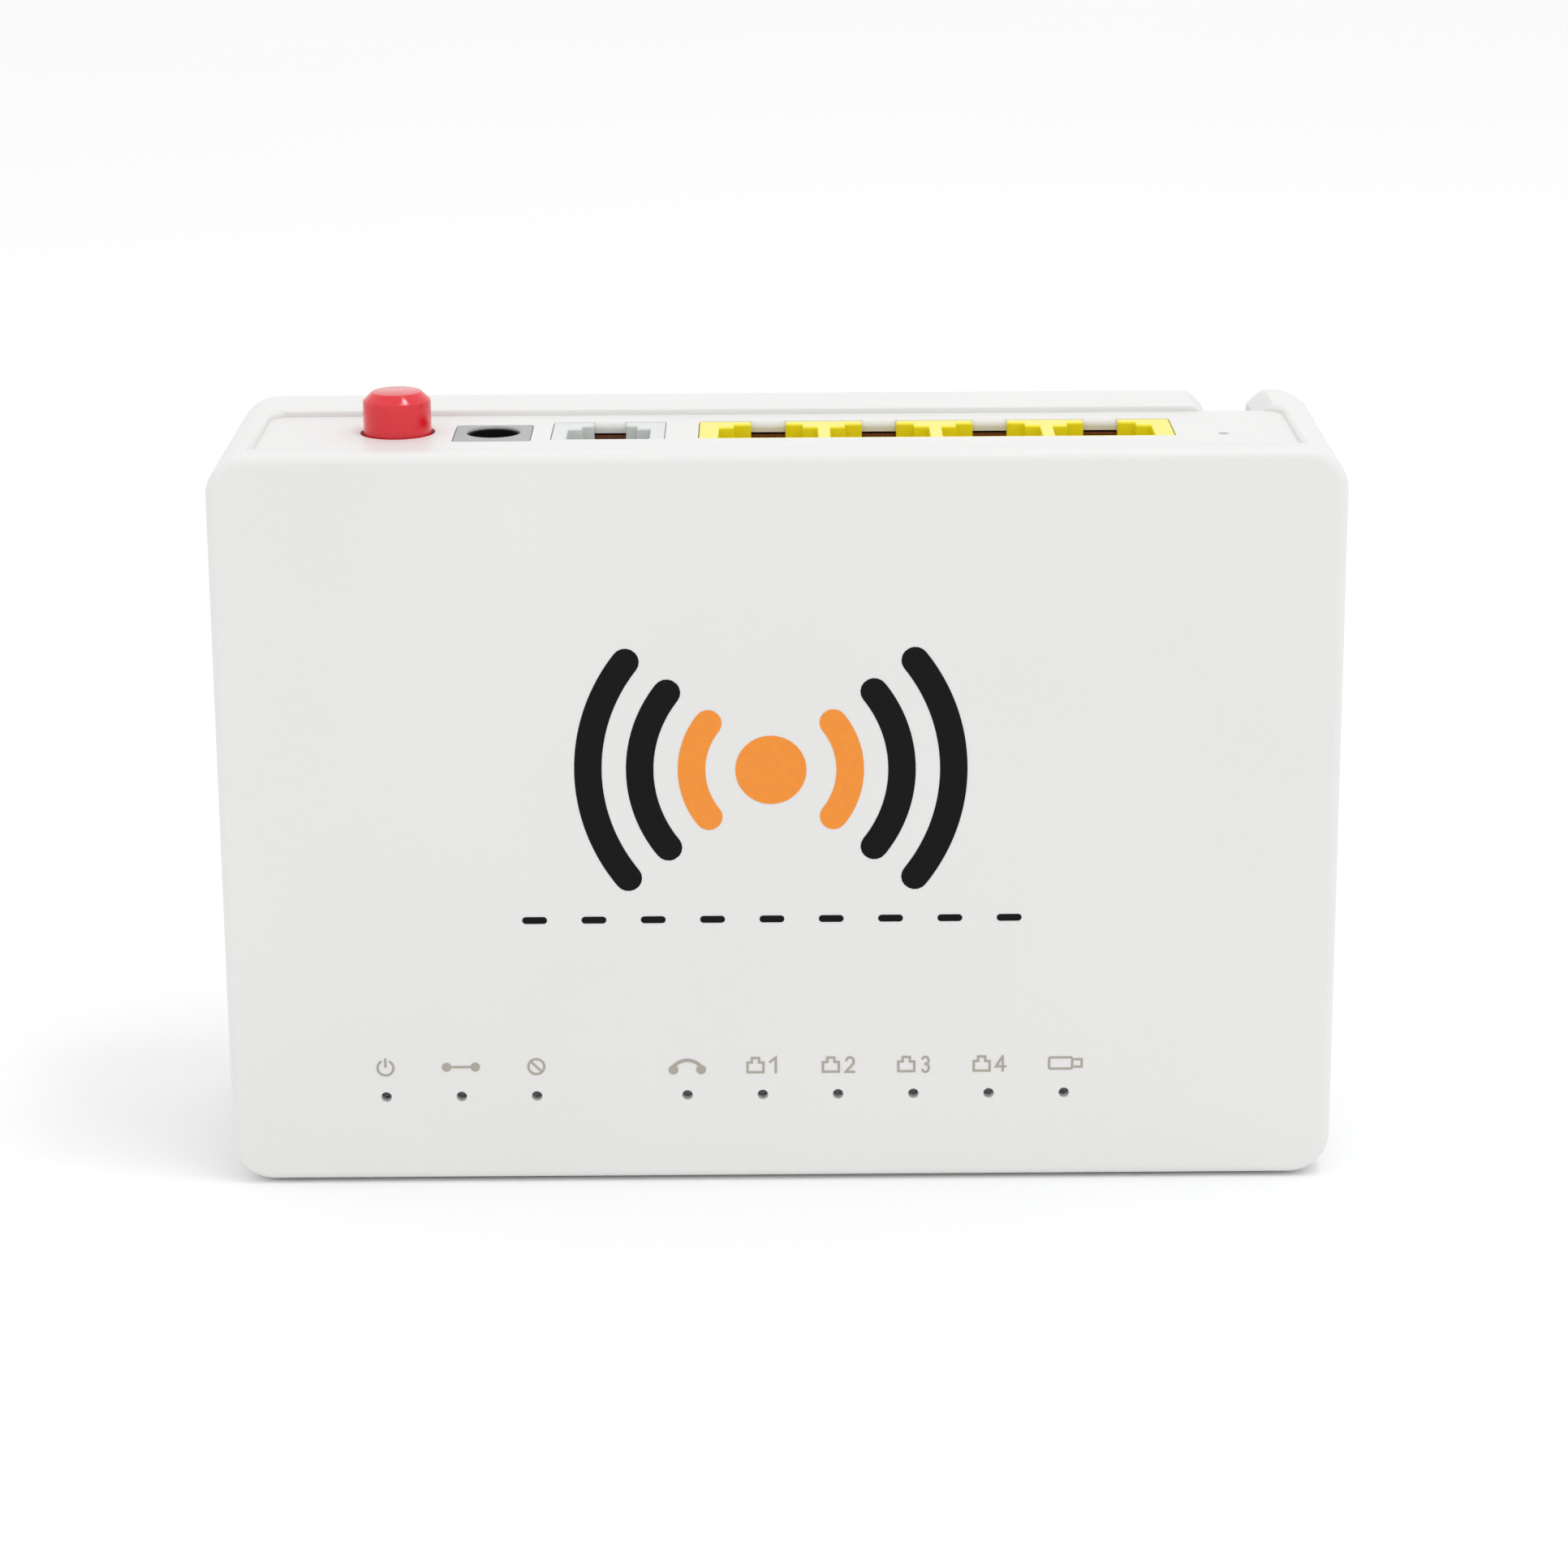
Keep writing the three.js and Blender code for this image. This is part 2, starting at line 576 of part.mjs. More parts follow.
// Contact springs: a bar at the bottom of the socket and bent fingers that rise along its front wall.
function contactComb(x, y0, z0, count, pitch) {
  const y = y0 + 1.05;
  const half = ((count - 1) * pitch) / 2;
  const finger = [
    [y, z0 + 0.6],
    [y + 0.35, z0 + 0.6],
    [y + 0.35, SOCKET_Z - 2.9],
    [y + 1.35, z0 + 3.7],
    [y + 1.6, z0 + 3.9],
    [y + 0.35, SOCKET_Z - 1.9],
    [y, SOCKET_Z - 1.9],
  ];
  const fingers = [...Array(count).keys()].map((i) => {
    const cx = x - half + i * pitch;
    return prismX(polygon(finger), cx - 0.22, cx + 0.22);
  });
  return union(box(x - half - 0.8, x + half + 0.8, y, y + 1.5, z0 + 0.15, z0 + 1), fingers);
}

const JACK_LOW_Z = 77.4;
const PORT_LOW_Z = 80.4;
const LAN_WIDTHS = [12.3, 8.6, 4.3];
const PHONE_WIDTHS = [10.3, 6.9, 4];
const lanX = (i) => LAN.x + (i - (LAN.count - 1) / 2) * LAN.pitch;
const lanPorts = [...Array(LAN.count).keys()];

piece(
  "lan_jack_block",
  cut(
    box(LAN.x - LAN.width / 2, LAN.x + LAN.width / 2, LAN.y0, SOCKET_BACK_Y, JACK_LOW_Z, SOCKET_Z),
    lanPorts.map((i) => modularMouth(lanX(i), LAN.y0, LAN_WIDTHS, PORT_LOW_Z)),
  ),
  0xf3e62a,
  0.4,
);
lanPorts.forEach((i) => {
  piece(`lan_jack_contacts_${i + 1}`, contactComb(lanX(i), LAN.y0, PORT_LOW_Z, 8, 1.02), GOLD, 0.25, 1);
});
piece(
  "phone_jack_body",
  cut(
    box(PHONE.x - PHONE.width / 2, PHONE.x + PHONE.width / 2, PHONE.y0, SOCKET_BACK_Y, JACK_LOW_Z, SOCKET_Z),
    modularMouth(PHONE.x, PHONE.y0, PHONE_WIDTHS, PORT_LOW_Z),
  ),
  0xdfe3e2,
  0.45,
);
piece("phone_jack_contacts", contactComb(PHONE.x, PHONE.y0, PORT_LOW_Z, 4, 1.02), GOLD, 0.25, 1);

// ---------------------------------------------------------------- USB socket on the left side

{
  const [mouthX, t] = [-WIDTH / 2 + 0.2, 0.45];
  const [z0, z1, x1] = [USB.z - USB.width / 2, USB.z + USB.width / 2, mouthX + USB.deep];
  const shell = cut(
    box(mouthX, x1, USB.y0, USB.y1, z0, z1),
    box(mouthX - 1, x1 - t, USB.y0 + t, USB.y1 - t, z0 + t, z1 - t),
  );
  piece("usb_shell", shell, TIN, 0.3, 1);
  const [gap, mid] = [t + 0.1, (USB.y0 + USB.y1) / 2];
  const block = box(x1 - 3.5, x1 - gap, USB.y0 + gap, USB.y1 - gap, z0 + gap, z1 - gap);
  const tongue = box(mouthX + 1, x1 - 3, mid - 0.9, mid + 0.9, USB.z - 5.5, USB.z + 5.5);
  piece("usb_tongue", union(block, tongue), 0xf0f0ee, 0.5);
}

// ---------------------------------------------------------------- optical socket

const PLUG_HALF = [4.6, 3.8]; // half width and half thickness of the square optical plug hole

function opticalAdapter() {
  const [x, y] = [NOTCH.x, ADAPTER.y];
  const [hx, hy] = [ADAPTER.width / 2, ADAPTER.thick / 2];
  const [px, py] = PLUG_HALF;
  const body = box(x - hx, x + hx, y - hy, y + hy, ADAPTER.z0, ADAPTER.z1);
  const flange = box(x - hx - 1, x + hx + 1, y - hy, y + hy, 28, 31.7);
  const webLow = 26.5;
  const webHigh = 29.5;
  const holes = [
    box(x - px, x + px, y - py, y + py, webHigh, ADAPTER.z1 + 1),
    box(x - px, x + px, y - py, y + py, ADAPTER.z0 - 1, webLow),
    box(x - 1.3, x + 1.3, y, y + hy + 1, ADAPTER.z1 - 7, ADAPTER.z1 + 1), // keyway
  ];
  const sleeve = barZ(x, y, 1.95, webLow - 6, ADAPTER.z1 - 3, 16);
  return cut(union(cut(union(body, flange), holes), sleeve), barZ(x, y, 1.3, 0, HEIGHT, 12));
}

function opticalDustCap() {
  const [x, y] = [NOTCH.x, ADAPTER.y];
  const stem = box(x - 4.4, x + 4.4, y - 3.6, y + 3.6, ADAPTER.z1 - 8, ADAPTER.z1 + 1);
  const head = box(x - 5.4, x + 5.4, y - 4.3, y + 4.3, ADAPTER.z1 + 0.2, ADAPTER.z1 + 7);
  const grooves = [1.8, 3.4, 5].flatMap((up) =>
    [-1, 1].map((side) => {
      const z = ADAPTER.z1 + up;
      return box(x + side * 5.4 - 0.4, x + side * 5.4 + 0.4, y - 5, y + 5, z, z + 0.8);
    }),
  );
  return cut(union(stem, head), grooves, barZ(x, y, 2.4, 0, ADAPTER.z1 - 2, 16));
}

// The transceiver ends in a barrel that fills the lower half of the adapter.
function opticalModule() {
  const [x, y] = [NOTCH.x, ADAPTER.y];
  const can = box(x - 4.5, x + 4.5, y - 4.2, y + 3.6, 5, 12);
  const barrel = barZ(x, y, 3.4, 11.5, 20, 16);
  const ferrule = barZ(x, y, 1.15, 19.5, 26, 12);
  const pins = [-3, -1, 1, 3].map((dx) => barY(x + dx, 8.5, 0.3, BOARD_BACK_Y + 0.05, y - 4, 6));
  return union(can, barrel, ferrule, pins);
}

piece("optical_adapter", opticalAdapter(), 0x2f9a55, 0.45);
piece("optical_dust_cap", opticalDustCap(), 0x2b2d30, 0.6);
piece("optical_module", opticalModule(), 0xb9a06a, 0.3, 1);

// ---------------------------------------------------------------- main board and what stands on it

const BOARD = { x: 66.4, z0: 3.4, z1: 91.4 };
piece(
  "main_board",
  cut(
    prismY(roundRect(-BOARD.x, BOARD.x, BOARD.z0, BOARD.z1, 2.5), BOARD_Y, BOARD_BACK_Y, 0, 3),
    HOUSING_SCREWS.map(([x, z]) => barY(x, z, 3.9, BOARD_Y - 1, BOARD_BACK_Y + 1)),
    BOARD_SCREWS.map(([x, z]) => barY(x, z, 1.45, BOARD_Y - 1, BOARD_BACK_Y + 1, 12)),
  ),
  0x5a3622,
  0.5,
);

const CHIP_Y = BOARD_Y - 0.05; // the feet of the parts on the front of the board

// A flat package with a row of legs along each of its two long sides.
function leggedChip(x0, x1, z0, z1, thick, legs) {
  const body = box(x0, x1, CHIP_Y - thick, CHIP_Y - 0.15, z0, z1);
  const pitch = (x1 - x0) / legs;
  const feet = [...Array(legs).keys()].flatMap((i) => {
    const x = x0 + (i + 0.5) * pitch;
    const w = pitch * 0.25;
    return [
      box(x - w, x + w, CHIP_Y - thick / 2, CHIP_Y, z0 - 1, z0 + 0.1),
      box(x - w, x + w, CHIP_Y - thick / 2, CHIP_Y, z1 - 0.1, z1 + 1),
    ];
  });
  return union(body, feet);
}

const SOC = { x0: -14, x1: 3, z0: 36, z1: 53, thick: 1.8 };
const flatChip = (x0, x1, z0, z1, thick) => box(x0, x1, CHIP_Y - thick, CHIP_Y, z0, z1);
piece("system_chip", flatChip(SOC.x0, SOC.x1, SOC.z0, SOC.z1, SOC.thick), BLACK_PLASTIC, 0.5);
{
  const y = CHIP_Y - SOC.thick - 0.1;
  const [x0, x1, z0, z1] = [SOC.x0 - 3, SOC.x1 + 3, SOC.z0 - 3, SOC.z1 + 3];
  const fins = [...Array(7).keys()].map((i) => {
    const x = x0 + (i * (x1 - x0 - 1.2)) / 6;
    return box(x, x + 1.2, y - 9, y - 1.5, z0, z1);
  });
  piece("heat_sink", union(box(x0, x1, y - 2, y, z0, z1), fins), 0x8d9196, 0.4, 1);
}
piece("memory_chip", flatChip(12, 20, 38, 51, 1.1), BLACK_PLASTIC, 0.5);
piece("flash_chip", leggedChip(-34, -26, 40, 46, 2, 4), BLACK_PLASTIC, 0.5);
piece("phone_line_chip", flatChip(-24, -17, 60, 67, 0.9), BLACK_PLASTIC, 0.5);
piece("lan_transformer_1", leggedChip(-7, 15, 60, 72, 5.5, 8), BLACK_PLASTIC, 0.5);
piece("lan_transformer_2", leggedChip(17, 35, 59, 71, 5.5, 7), BLACK_PLASTIC, 0.5);
piece("power_inductor", prismY(roundRect(-46, -38, 46, 54, 1.6), CHIP_Y - 4.5, CHIP_Y, 0, 3), 0x4a4c4e, 0.6);
[
  [-47, 62, 4, 11],
  [-28, 52, 3.2, 8],
].forEach(([x, z, r, tall], i) => {
  // a groove runs round the can near its foot
  const [y, top] = [CHIP_Y, CHIP_Y - tall];
  const profile = [[0, top], [r, top], [r, y - 1.8], [r * 0.93, y - 1.4], [r, y - 1], [r, y], [0, y]];
  piece(`bulk_capacitor_${i + 1}`, turnedY(x, z, profile, 16), 0x23272e, 0.35, 0.2);
});
piece("timing_crystal", prismY(roundRect(-16, -5, 27, 31.5, 2.2), CHIP_Y - 3.4, CHIP_Y, 0, 3), TIN, 0.3, 1);

// ---------------------------------------------------------------- indicator lights

LIGHTS.forEach(([name, place]) => {
  const x = lightX(place);
  const [w, h] = [1, 0.65];
  piece(`light_${name}`, box(x - w, x + w, CHIP_Y - 0.8, CHIP_Y, LIGHT.z - h, LIGHT.z + h), 0xf2f0dc, 0.3);
});

function lightPipeBar() {
  const bar = box(-52.5, 39.2, -4, -2, LIGHT.z - 1.4, LIGHT.z + 1.4);
  const tips = LIGHTS.map(([, place]) => barY(lightX(place), LIGHT.z, 0.5, FRONT_Y + 1.4, -3.5, 8));
  const stubs = LIGHTS.map(([, place]) => barY(lightX(place), LIGHT.z, 1.1, -2.5, CHIP_Y - 1, 8));
  return union(bar, tips, stubs);
}
piece("light_pipe_bar", lightPipeBar(), 0xe8eef0, 0.1);

export default root;
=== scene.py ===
import json
import math

import bmesh
import bpy
from mathutils import Matrix, Vector


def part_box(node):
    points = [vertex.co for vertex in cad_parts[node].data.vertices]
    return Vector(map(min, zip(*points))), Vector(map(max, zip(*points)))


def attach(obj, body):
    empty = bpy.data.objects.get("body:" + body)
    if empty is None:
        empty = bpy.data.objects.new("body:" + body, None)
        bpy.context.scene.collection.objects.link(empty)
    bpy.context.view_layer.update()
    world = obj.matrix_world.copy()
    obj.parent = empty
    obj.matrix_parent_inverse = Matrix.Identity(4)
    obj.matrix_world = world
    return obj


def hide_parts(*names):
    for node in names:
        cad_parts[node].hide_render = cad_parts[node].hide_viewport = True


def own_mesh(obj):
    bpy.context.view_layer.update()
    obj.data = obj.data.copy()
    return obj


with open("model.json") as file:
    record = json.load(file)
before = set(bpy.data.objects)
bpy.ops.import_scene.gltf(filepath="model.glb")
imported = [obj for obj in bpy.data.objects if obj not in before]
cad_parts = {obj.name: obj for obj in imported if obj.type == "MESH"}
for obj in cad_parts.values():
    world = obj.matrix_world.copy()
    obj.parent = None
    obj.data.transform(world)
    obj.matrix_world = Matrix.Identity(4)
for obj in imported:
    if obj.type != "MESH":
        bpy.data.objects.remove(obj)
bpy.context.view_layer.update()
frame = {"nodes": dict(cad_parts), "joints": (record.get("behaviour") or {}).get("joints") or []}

# An optical network terminal that stands upright. Shapes are drawn in millimetres in the frame's own
# axes: +X to the right seen from the front, +Y from the front face towards the wall, +Z up.

MM = 0.001
STEPS = 10  # segments in a quarter turn
BEYOND = 4.0  # how far a cutting tool reaches past the face that it cuts


def span(node):
    """The lowest and highest corner of a CAD node, in millimetres."""
    low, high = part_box(node)
    return low / MM, high / MM


def middle(node):
    low, high = span(node)
    return (low + high) / 2


# ---------------------------------------------------------------- sizes

FRONT_LO, FRONT_HI = span("front_housing")
REAR_LO, REAR_HI = span("rear_base")
SEAM_Y = FRONT_HI.y
BACK_Y = REAR_HI.y
TOP_Z = FRONT_HI.z
PRINT_THICK = 0.03
FACE_Y = FRONT_LO.y + PRINT_THICK + 0.01  # the printed marks stand on this face, inside the CAD box
CORNER_R = 5.2
FRONT_EDGE_R = 1.25
BACK_EDGE_R = 2.8
WALL = 2.0
FRONT_WALL = 2.2
PANEL_Z = TOP_Z - 0.8  # floor of the sunken panel round the sockets
PANEL_UNDER_Z = TOP_Z - 2.3
PANEL_HALF_X = 64.2
PANEL_Y0 = -12.5
PANEL_RAMP = 3.5  # the panel's front edge is a shallow slope
PANEL_EDGE_R = 0.75
FIT_GAP = 0.07
SEAM_GAP = 0.005
SEAM_CHAMFER = 0.08
SEAM_EDGE_R = 0.3
PLATE_Y = BACK_Y - WALL
BOARD_LO, BOARD_HI = span("main_board")
SOCKET_BACK_Y = span("lan_jack_block")[1].y
POWER_FACE_BACK_Y = 1.4  # the far side of the power socket's square face
HOLE_RIM = 0.12
BUTTON_HOLE_R = 4.65
PINHOLE_R = 0.7
LAN_PITCH = 13.97
LAN_CENTRES = [middle("lan_jack_block").x + (i - 1.5) * LAN_PITCH for i in range(4)]
LAN_SLOT, PHONE_SLOT = 4.3, 4.0  # width of the latch slot, which is open behind
SLOT_EDGE_R = 1.1  # the panel rolls over into the latch slots
LIGHT_HOLE_R = 0.65
USB_GAP = 0.3
HOUSING_BOSS_R, BOARD_BOSS_R = 3.4, 3.0
SCREW_SEAT_Y = 8.9
LIGHTS = ("power", "pon", "los", "tel", "lan1", "lan2", "lan3", "lan4", "usb")


# ---------------------------------------------------------------- outlines and solids


def arc(u, v, r, start, turn=90.0, steps=STEPS):
    """Points on an arc about (u, v), from start through turn degrees."""
    angles = [math.radians(start + turn * i / steps) for i in range(steps + 1)]
    return [(u + r * math.cos(a), v + r * math.sin(a)) for a in angles]


def rect(u0, u1, v0, v1, r=0.3, steps=STEPS):
    """A rounded rectangle, as a function that draws it d wider on every side."""

    def ring(d=0.0):
        k = max(r + d, 0.02)
        a0, a1, b0, b1 = u0 - d, u1 + d, v0 - d, v1 + d
        return (
            arc(a1 - k, b0 + k, k, -90, 90, steps)
            + arc(a1 - k, b1 - k, k, 0, 90, steps)
            + arc(a0 + k, b1 - k, k, 90, 90, steps)
            + arc(a0 + k, b0 + k, k, 180, 90, steps)
        )

    return ring


def circle(u, v, r, sides=48):
    return lambda d=0.0: arc(u, v, r + d, 0, 360 - 360 / sides, sides - 1)


def rounded(corners, steps=4):
    """A polygon from (u, v, radius) corners, counterclockwise, as a function that draws it d wider."""

    def ring(d=0.0):
        count = len(corners)
        places = [Vector(c[:2]) for c in corners]
        sides = []
        for i, p in enumerate(places):
            along = (places[(i + 1) % count] - p).normalized()
            outward = Vector((along.y, -along.x))
            sides.append((p + outward * d, along))
        points = []
        for i in range(count):
            (p, a), (q, b) = sides[i - 1], sides[i]
            cross = a.x * b.y - a.y * b.x
            t = ((q - p).x * b.y - (q - p).y * b.x) / cross
            corner = p + a * t
            turn = math.atan2(cross, a.dot(b))
            r = max(corners[i][2] + (d if turn > 0 else -d), 0.02)
            setback = r * math.tan(abs(turn) / 2)
            inward = Vector((-a.y, a.x)) * math.copysign(1, turn)
            centre = corner - a * setback + inward * r
            start = math.degrees(math.atan2(-inward.y, -inward.x))
            points += arc(centre.x, centre.y, r, start, math.degrees(turn), steps)
        return points

    return ring


TO_FRAME = {
    "X": lambda u, v, w: (w, u, v),
    "Y": lambda u, v, w: (u, w, v),
    "Z": lambda u, v, w: (u, v, w),
}


def skin(rings):
    """A closed mesh over rings of points, which all have the same count."""
    bm = bmesh.new()
    loops = [[bm.verts.new(p) for p in ring] for ring in rings]
    for a, b in zip(loops, loops[1:]):
        for i in range(len(a)):
            j = (i + 1) % len(a)
            bm.faces.new((a[i], a[j], b[j], b[i]))
    bm.faces.new(loops[0][::-1])
    bm.faces.new(loops[-1])
    bmesh.ops.recalc_face_normals(bm, faces=bm.faces)
    return bm


def sweep(ring, stations, axis="Z"):
    """A closed mesh: the ring, d wider than drawn, at each (place, d) along the axis."""
    return skin([[TO_FRAME[axis](u, v, w) for u, v in ring(d)] for w, d in stations])


def edge(end, r, out, steps=6):
    """Stations that round off the edge of a solid where it ends. out is 1 or -1 along the axis."""
    angles = [math.radians(90 * i / steps) for i in range(steps + 1)]
    return [(end - out * r * (1 - math.sin(a)), -r * (1 - math.cos(a))) for a in angles]


def block(ring, low, high, r_low=0.2, r_high=0.2, axis="Z"):
    """A solid with rounded edges at both of its ends."""
    return sweep(ring, edge(low, r_low, -1, 4)[::-1] + edge(high, r_high, 1, 4), axis)


def opening(ring, deep, face, rim, out=1, axis="Z"):
    """A tool that cuts a hole from a face down to deep, and rounds the rim of the hole."""
    steps = 5
    last = math.radians(72)
    stations = [(deep, 0.0)]
    for i in range(steps + 1):
        a = last * i / steps
        stations.append((face - out * rim * (1 - math.sin(a)), rim * (1 - math.cos(a))))
    end, wide = stations[-1]
    reach = rim + 0.3
    flared = wide + math.sin(last) * reach
    stations += [(end + out * math.cos(last) * reach, flared), (end + out * BEYOND, flared)]
    return sweep(ring, stations, axis)


def cuboid(x0, x1, y0, y1, z0, z1):
    bm = bmesh.new()
    bmesh.ops.create_cube(bm, size=1.0)
    size = Vector((x1 - x0, y1 - y0, z1 - z0))
    centre = Vector((x0 + x1, y0 + y1, z0 + z1)) / 2
    for v in bm.verts:
        v.co = centre + Vector(a * b for a, b in zip(v.co, size))
    return bm


def bar(u, v, r, low, high, axis="Y", sides=32):
    return sweep(circle(u, v, r, sides), [(low, 0), (high, 0)], axis)


def turned(x, y, profile, sides=64, axis="Z"):
    """A solid of revolution from a profile of [radius, place] points."""
    radius = circle(x, y, 0.0, sides)
    return sweep(radius, [(w, max(r, 0.01)) for r, w in profile], axis)


def to_object(name, bm):
    mesh = bpy.data.meshes.new(name)
    bm.to_mesh(mesh)
    bm.free()
    obj = bpy.data.objects.new(name, mesh)
    bpy.context.scene.collection.objects.link(obj)
    return obj


def joined(meshes):
    """Several separate meshes as one."""
    whole = bmesh.new()
    for bm in meshes:
        part = bpy.data.meshes.new("part")
        bm.to_mesh(part)
        bm.free()
        whole.from_mesh(part)
        bpy.data.meshes.remove(part)
    return whole


def combine(obj, operation, *tools):
    """Cuts tools from obj, or joins them to it. The tools are used up."""
    helpers = [to_object("tool", tool) for tool in tools]
    for helper in helpers:
        modifier = obj.modifiers.new("combine", "BOOLEAN")
        modifier.operation = operation
        modifier.solver = "EXACT"
        modifier.object = helper
    bpy.context.view_layer.update()
    evaluated = obj.evaluated_get(bpy.context.evaluated_depsgraph_get())
    result = bpy.data.meshes.new_from_object(evaluated)
    obj.modifiers.clear()
    old = obj.data
    obj.data = result
    bpy.data.meshes.remove(old)
    for helper in helpers:
        tool_mesh = helper.data
        bpy.data.objects.remove(helper)
        bpy.data.meshes.remove(tool_mesh)


def meet(obj, *tools):
    combine(obj, "INTERSECT", *tools)


def cut(obj, *tools):
    combine(obj, "DIFFERENCE", *tools)


def join(obj, *tools):
    combine(obj, "UNION", *tools)


def place(obj, body, material, replaced=(), sharp=34.0):
    """Turns a shape drawn in millimetres into a finished piece that rides on a CAD body."""
    obj.data.transform(Matrix.Scale(MM, 4))
    obj.data.materials.clear()
    obj.data.materials.append(material)
    smooth(obj, sharp)
    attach(obj, body)
    if replaced:
        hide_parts(*replaced)


def smooth(obj, sharp):
    obj.data.polygons.foreach_set("use_smooth", [True] * len(obj.data.polygons))
    obj.data.set_sharp_from_angle(angle=math.radians(sharp))
    normals = obj.modifiers.new("even_normals", "WEIGHTED_NORMAL")
    normals.keep_sharp = True
    normals.weight = 90


# ---------------------------------------------------------------- materials


class Nodes:
    """A short way to write a node tree."""

    def __init__(self, name):
        self.material = bpy.data.materials.new(name)
        self.material.use_nodes = True
        self.tree = self.material.node_tree
        self.shader = self.tree.nodes["Principled BSDF"]
        self.coordinates = self.add("ShaderNodeTexCoord").outputs["Object"]

    def add(self, kind, **values):
        node = self.tree.nodes.new(kind)
        for name, value in values.items():
            setattr(node, name, value)
        return node

    def join(self, source, target):
        self.tree.links.new(source, target)

    def stretched(self, scale):
        mapping = self.add("ShaderNodeMapping")
        mapping.inputs["Scale"].default_value = scale
        self.join(self.coordinates, mapping.inputs["Vector"])
        return mapping.outputs["Vector"]

    def noise(self, scale, detail=3.0, vector=None):
        node = self.add("ShaderNodeTexNoise")
        node.inputs["Scale"].default_value = scale
        node.inputs["Detail"].default_value = detail
        node.inputs["Roughness"].default_value = 0.55
        self.join(vector or self.coordinates, node.inputs["Vector"])
        return node.outputs["Fac"]

    def brick_lines(self, scale, **settings):
        """The lines between rows of bricks, on faces that look along Y."""
        turned_up = self.add("ShaderNodeVectorRotate", rotation_type="X_AXIS")
        turned_up.inputs["Angle"].default_value = math.radians(90)
        self.join(self.coordinates, turned_up.inputs["Vector"])
        node = self.add("ShaderNodeTexBrick", **settings)
        node.inputs["Scale"].default_value = scale
        node.inputs["Mortar Size"].default_value = 0.012
        node.inputs["Mortar Smooth"].default_value = 0.1
        self.join(turned_up.outputs["Vector"], node.inputs["Vector"])
        return node.outputs["Fac"]

    def ramp(self, factor, *stops):
        """Colours by factor: stops are (position, colour)."""
        node = self.add("ShaderNodeValToRGB")
        elements = node.color_ramp.elements
        while len(elements) < len(stops):
            elements.new(0.5)
        for element, (position, colour) in zip(elements, stops):
            element.position = position
            element.color = (*colour, 1.0)
        self.join(factor, node.inputs["Fac"])
        return node.outputs["Color"]

    def between(self, factor, low, high):
        """A number that runs from low to high with factor."""
        node = self.add("ShaderNodeMapRange")
        node.inputs["To Min"].default_value = low
        node.inputs["To Max"].default_value = high
        self.join(factor, node.inputs["Value"])
        return node.outputs["Result"]

    def bump(self, height, distance):
        node = self.add("ShaderNodeBump")
        node.inputs["Distance"].default_value = distance
        node.inputs["Strength"].default_value = 1.0
        self.join(height, node.inputs["Height"])
        return node.outputs["Normal"]

    def finish(self, **sockets):
        """Sets the shader's sockets, each to a value or to the output of another node."""
        for name, value in sockets.items():
            socket = self.shader.inputs[name.replace("_", " ")]
            if isinstance(value, bpy.types.NodeSocket):
                self.join(value, socket)
            else:
                socket.default_value = value
        return self.material


def shade(colour, factor):
    """A lighter or darker tone of a colour."""
    return tuple(min(c * factor, 1.0) for c in colour)


def plastic(name, colour, roughness=0.4, grain=0.00001, grain_size=0.35, drift=0.02, **extra):
    """Moulded plastic with a fine spark-eroded grain. grain_size is in millimetres."""
    n = Nodes(name)
    fine = n.noise(1 / (grain_size * MM), 2.0)
    broad = n.noise(22.0, 2.0)
    base = n.ramp(broad, (0.3, shade(colour, 1 - drift)), (0.7, shade(colour, 1 + drift)))
    rough = n.between(fine, roughness - 0.05, roughness + 0.05)
    return n.finish(Base_Color=base, Roughness=rough, Normal=n.bump(fine, grain), **extra)


def metal(name, colour, roughness, stretch=(900, 900, 60)):
    """Metal with a rolled or drawn grain along one direction."""
    n = Nodes(name)
    lines = n.noise(1.0, 3.0, n.stretched(stretch))
    stains = n.noise(180.0, 4.0)
    base = n.ramp(stains, (0.25, shade(colour, 0.86)), (0.75, shade(colour, 1.06)))
    rough = n.between(lines, roughness - 0.08, roughness + 0.12)
    return n.finish(Base_Color=base, Roughness=rough, Metallic=1.0, Normal=n.bump(lines, 0.000004))


def rubber(name, colour):
    """Matt rubber with paler dust on it."""
    n = Nodes(name)
    grain = n.noise(2500.0, 4.0)
    dust = n.noise(260.0, 5.0)
    base = n.ramp(dust, (0.35, colour), (0.8, shade(colour, 1.9)))
    return n.finish(Base_Color=base, Roughness=0.82, Normal=n.bump(grain, 0.00003))


def ink(name, colour):
    """Pad-printed ink, very slightly uneven."""
    n = Nodes(name)
    cover = n.noise(900.0, 3.0)
    base = n.ramp(cover, (0.2, shade(colour, 0.95)), (0.8, shade(colour, 1.05)))
    return n.finish(Base_Color=base, Roughness=n.between(cover, 0.5, 0.6), Specular_IOR_Level=0.12)


def circuit_board():
    """Brown solder mask that rises a little over copper tracks."""
    n = Nodes("circuit_board")
    tracks = n.brick_lines(260.0, offset=0.37, squash=0.6, squash_frequency=3)
    base = n.ramp(tracks, (0.0, (0.13, 0.036, 0.010)), (1.0, (0.25, 0.085, 0.026)))
    return n.finish(Base_Color=base, Roughness=0.38, Normal=n.bump(tracks, 0.00003))


def clear_plastic():
    n = Nodes("clear_light_pipe")
    haze = n.noise(350.0, 3.0)
    return n.finish(
        Base_Color=(0.78, 0.82, 0.84, 1.0),
        Roughness=n.between(haze, 0.12, 0.3),
        Transmission_Weight=0.85,
        IOR=1.49,
    )


